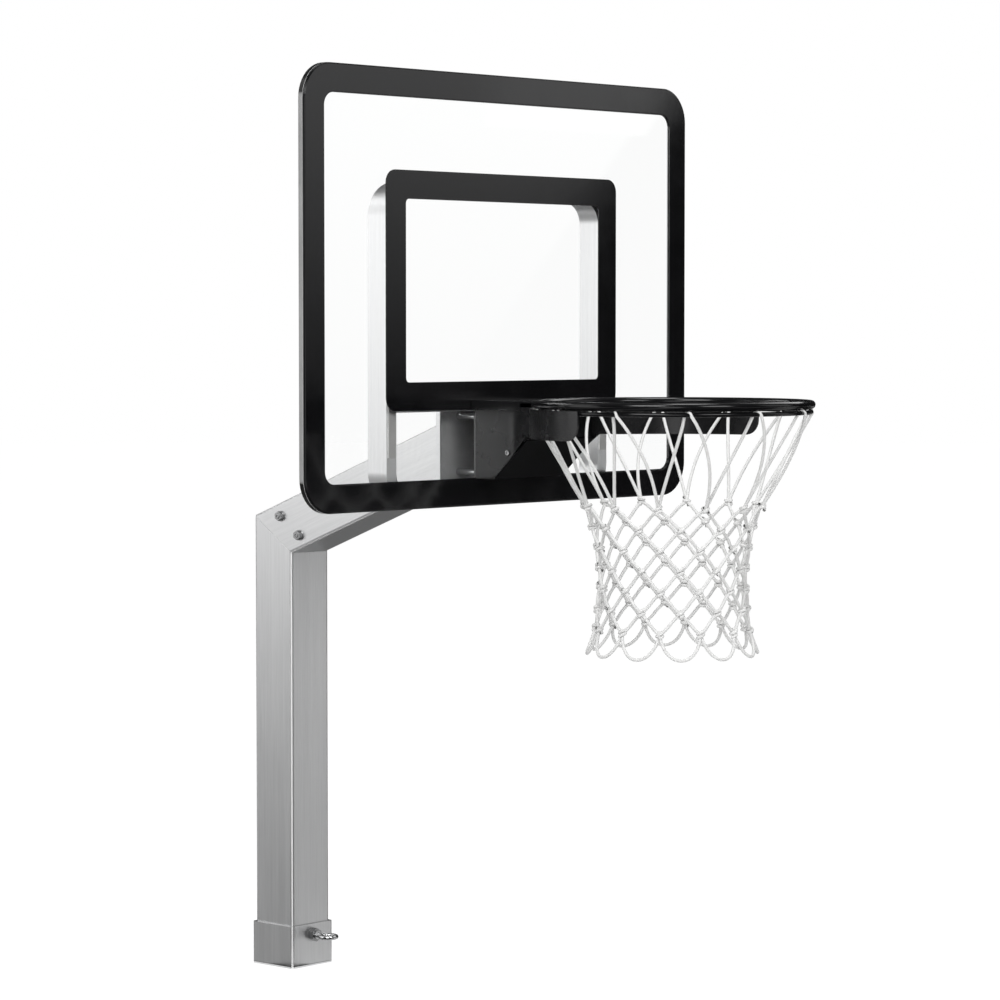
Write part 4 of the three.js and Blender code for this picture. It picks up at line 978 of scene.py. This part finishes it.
        self.deck(
            "grey_left_deck", ((-0.09, -0.05), (0.0, 0.1), (-1.9, 4.9), (-4.6, 1.75)),
            height=0.004, glow=0.36,
        )
        self.screen(
            "camera_strip", foot=((-4.9, -3.7), (-3.7, -4.9)), head=((-3.7, -4.9), (-4.9, -3.7)),
            heights=(0.02, 2.6), glow=2.6,
        )
        self.screen(
            "left_soft", foot=((-5.2, 1.1), (-2.7, 4.2)), head=((-2.7, 4.2), (-5.2, 1.1)),
            heights=(0.0, 2.4), glow=2.05, rise=(-0.1, 1.5), dim=0.25,
        )
        self.screen(
            "left_high", foot=((-4.4, 1.6), (-2.7, 4.2)), head=((-1.7, 3.6), (-3.6, 1.4)),
            heights=(2.45, 5.2), glow=1.5,
        )


# Pieces


class HOOP_OT_foot(bpy.types.Operator):
    """Deck sleeve, clamp boss, pad and eye bolt"""

    bl_idname = "hoop.foot"
    bl_label = "Deck sleeve and eye bolt"

    def execute(self, context):
        softened("deck_sleeve", "post_steel", "deck_sleeve", ease=SLEEVE_EASE, segments=3)
        softened("clamp_boss", "dull", "deck_sleeve", ease=BLOCK_EASE)
        softened("clamp_pad", "rubber", "clamp_pad", ease=THIN_EASE)
        softened("eye_bolt", "bright", "eye_bolt", ease=THIN_EASE, sharp=SHARP_EYE)
        return {"FINISHED"}


class HOOP_OT_mast(bpy.types.Operator):
    """Post, arm, elbow insert, foot plug and elbow bolts"""

    bl_idname = "hoop.mast"
    bl_label = "Post and arm"

    def execute(self, context):
        edge = context.scene.hoop_metal.edge
        softened("post_tube", "post_steel", "hoop_mast", ease=edge)
        softened("arm_tube", "arm_steel", "hoop_mast", ease=edge)
        wear("elbow_insert", "upright_steel")
        wear("post_foot", "rubber")
        for end in ("upper", "lower"):
            softened(
                "elbow_bolt_" + end, "dull", "hoop_mast", ease=SMALL_EASE,
                socket=(-1, *ELBOW_SOCKET),
            )
            softened("elbow_nut_" + end, "dull", "hoop_mast", ease=BOLT_EASE)
        return {"FINISHED"}


class HOOP_OT_support(bpy.types.Operator):
    """Flange, support loop, crossbar, pads, bolts and spacers behind the board"""

    bl_idname = "hoop.support"
    bl_label = "Board support"

    def execute(self, context):
        softened("arm_flange", "level_steel", "hoop_mast", ease=PLATE_EASE)
        softened("backing_plate", "backing", "hoop_mast", ease=SMALL_EASE)
        softened("support_loop", "upright_steel", "hoop_mast", ease=LOOP_EASE, segments=3)
        softened("support_crossbar", "level_steel", "hoop_mast", ease=BAR_EASE)
        for side in SIDES:
            softened("pad_strip_" + side, "vinyl", "hoop_mast", ease=THIN_EASE)
            softened("loop_bolt_" + side, "bright", "hoop_mast", ease=BOLT_EASE)
        for corner in CORNERS:
            for kind in ("rim_bolt_", "rim_spacer_", "rim_nut_"):
                softened(kind + corner, "bright", "hoop_mast", ease=BOLT_EASE)
        return {"FINISHED"}


class HOOP_OT_board(bpy.types.Operator):
    """Acrylic panel, border, target and the target's nuts"""

    bl_idname = "hoop.board"
    bl_label = "Backboard"

    def execute(self, context):
        panel = softened("acrylic_panel", "acrylic", "hoop_mast", ease=PLATE_EASE)
        edged(panel, lambda face: abs(face.normal.y) < PANEL_FACING)
        border = softened(
            "border_frame", "gloss", "hoop_mast", ease=BORDER_EASE, sharp=SHARP_BORDER,
        )
        # The black border's inner faces on the right side get the painted grey edge too, standing in
        # for light seen on them
        edged(border, lambda face: face.normal.x < BORDER_FACING and face.center.x > 0)
        softened("target_square", "target", "hoop_mast", ease=THIN_EASE)
        for corner in CORNERS:
            softened("target_nut_" + corner, "bright", "hoop_mast", ease=SMALL_EASE)
        return {"FINISHED"}


class HOOP_OT_rim(bpy.types.Operator):
    """Rim mount, hinge, springs, side sheets, lid, front and cover"""

    bl_idname = "hoop.rim"
    bl_label = "Rim housing"

    def execute(self, context):
        softened("rim_gasket", "rubber", "hoop_mast", ease=SHEET_EASE)
        softened("rim_mount", "satin", "hoop_mast", ease=BLOCK_EASE)
        softened("hinge_pin", "bright", "hoop_mast", ease=SMALL_EASE)
        softened("rim_yoke", "satin", "rim", ease=BOLT_EASE)
        for side, way in zip(SIDES, (-1, 1)):
            self.spring("rim_spring_" + side)
            softened("rod_nut_" + side, "bright", "hoop_mast", ease=SMALL_EASE)
            softened("rim_bumper_" + side, "rubber", "hoop_mast", ease=SMALL_EASE)
            softened("rim_side_" + side, "side", "rim", ease=SHEET_EASE)
            softened(
                "cover_screw_" + side, "dull", "rim", ease=SMALL_EASE,
                socket=(way, *COVER_SOCKET),
            )
        softened("rim_front", "rim_gloss", "rim", ease=BOLT_EASE)
        softened("rim_lid", "rim_gloss", "rim", ease=PLATE_EASE)
        softened("rim_cover", "cover", "rim", ease=BOLT_EASE)
        return {"FINISHED"}

    def spring(self, node):
        """The coil's own solid with its flats joined up, given a mesh of its own"""
        coil = softened(node, "bright", "hoop_mast", ease=0, sharp=SHARP_COIL)
        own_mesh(coil)


class HOOP_OT_ring(bpy.types.Operator):
    """The ring rod and the lower rod with its tabs"""

    bl_idname = "hoop.ring"
    bl_label = "Ring"

    def execute(self, context):
        steps = context.scene.hoop_board.rod_steps
        bm = bmesh.new()
        spun_rod(bm, RING_RADIUS, RING_ROD, 0, steps, RING_SIDES)
        bmesh.ops.translate(bm, verts=bm.verts, vec=RING_CENTRE)
        finished(bm, "round_ring", "rim_gloss", "rim", ("rim_ring",))
        bm = bmesh.new()
        spun_rod(
            bm, RING_RADIUS, LOWER_ROD + LOWER_FULLER, LOWER_RAISED - LOWER_DROP, steps, LOWER_SIDES,
        )
        for i in range(LOOPS):
            tab = bmesh.ops.create_cone(
                bm, cap_ends=True, segments=TAB_SIDES, radius1=TAB_RADIUS, radius2=TAB_RADIUS,
                depth=LOWER_DROP - RING_ROD + TAB_OVERLAP,
            )
            place = on_circle(RING_RADIUS, i, -(LOWER_DROP + RING_ROD) / 2)
            bmesh.ops.translate(bm, verts=tab["verts"], vec=place)
        bmesh.ops.translate(bm, verts=bm.verts, vec=RING_CENTRE)
        finished(bm, "lower_rod", "rim_gloss", "rim", ("rim_wire",))
        return {"FINISHED"}


class HOOP_OT_net(bpy.types.Operator):
    """The knotted net of braided cord"""

    bl_idname = "hoop.net"
    bl_label = "Net"

    def execute(self, context):
        net = context.scene.hoop_net
        strands = [top_loop(net, i + HALF) for i in range(LOOPS)]
        for row in range(1, ROWS):
            for i in range(LOOPS):
                strands += [net_strand(net, row, i + row_shift(row), step) for step in (-1, 1)]
        strands += [hem_loop(net, i + HALF) for i in range(LOOPS)]
        for row in range(1, ROWS + 1):
            strands += [knot_wrap(net, row, i + row_shift(row)) for i in range(LOOPS)]
        mesh = cord_mesh(strands, net.cord)
        mesh.transform(Matrix.Translation(RING_CENTRE))
        mesh.polygons.foreach_set("use_smooth", [True] * len(mesh.polygons))
        piece = bpy.data.objects.new("knotted_net", mesh)
        context.scene.collection.objects.link(piece)
        mesh.materials.clear()
        mesh.materials.append(finishes()["cord"])
        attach(piece, "rim")
        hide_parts("net")
        return {"FINISHED"}


class HOOP_PT_panel(bpy.types.Panel):
    """Lists the hoop's settings and steps"""

    bl_idname = "HOOP_PT_panel"
    bl_label = "Poolside hoop"
    bl_space_type = "VIEW_3D"
    bl_region_type = "UI"
    bl_category = "Hoop"

    def draw(self, context):
        layout = self.layout
        for group in SETTINGS:
            box = layout.box()
            settings = getattr(context.scene, group)
            for name in type(settings).__annotations__:
                box.prop(settings, name)
        for operator in STEPS:
            layout.operator(operator.bl_idname)


SETTINGS = {
    "hoop_metal": HoopMetalSettings,
    "hoop_board": HoopBoardSettings,
    "hoop_net": HoopNetSettings,
    "hoop_stage": HoopStageSettings,
}
STEPS = (
    HOOP_OT_stage, HOOP_OT_foot, HOOP_OT_mast, HOOP_OT_support, HOOP_OT_board, HOOP_OT_rim,
    HOOP_OT_ring, HOOP_OT_net,
)
CLASSES = (*SETTINGS.values(), *STEPS, HOOP_PT_panel)


def register():
    """Registers the settings, the operators and the panel"""
    for cls in CLASSES:
        bpy.utils.register_class(cls)
    for name, cls in SETTINGS.items():
        setattr(bpy.types.Scene, name, PointerProperty(type=cls))


def unregister():
    """Takes them out again"""
    for name in SETTINGS:
        delattr(bpy.types.Scene, name)
    for cls in reversed(CLASSES):
        bpy.utils.unregister_class(cls)


def main():
    """Runs every step in order"""
    register()
    for operator in STEPS:
        group, name = operator.bl_idname.split(".")
        getattr(getattr(bpy.ops, group), name)()


if __name__ == "__main__":
    main()
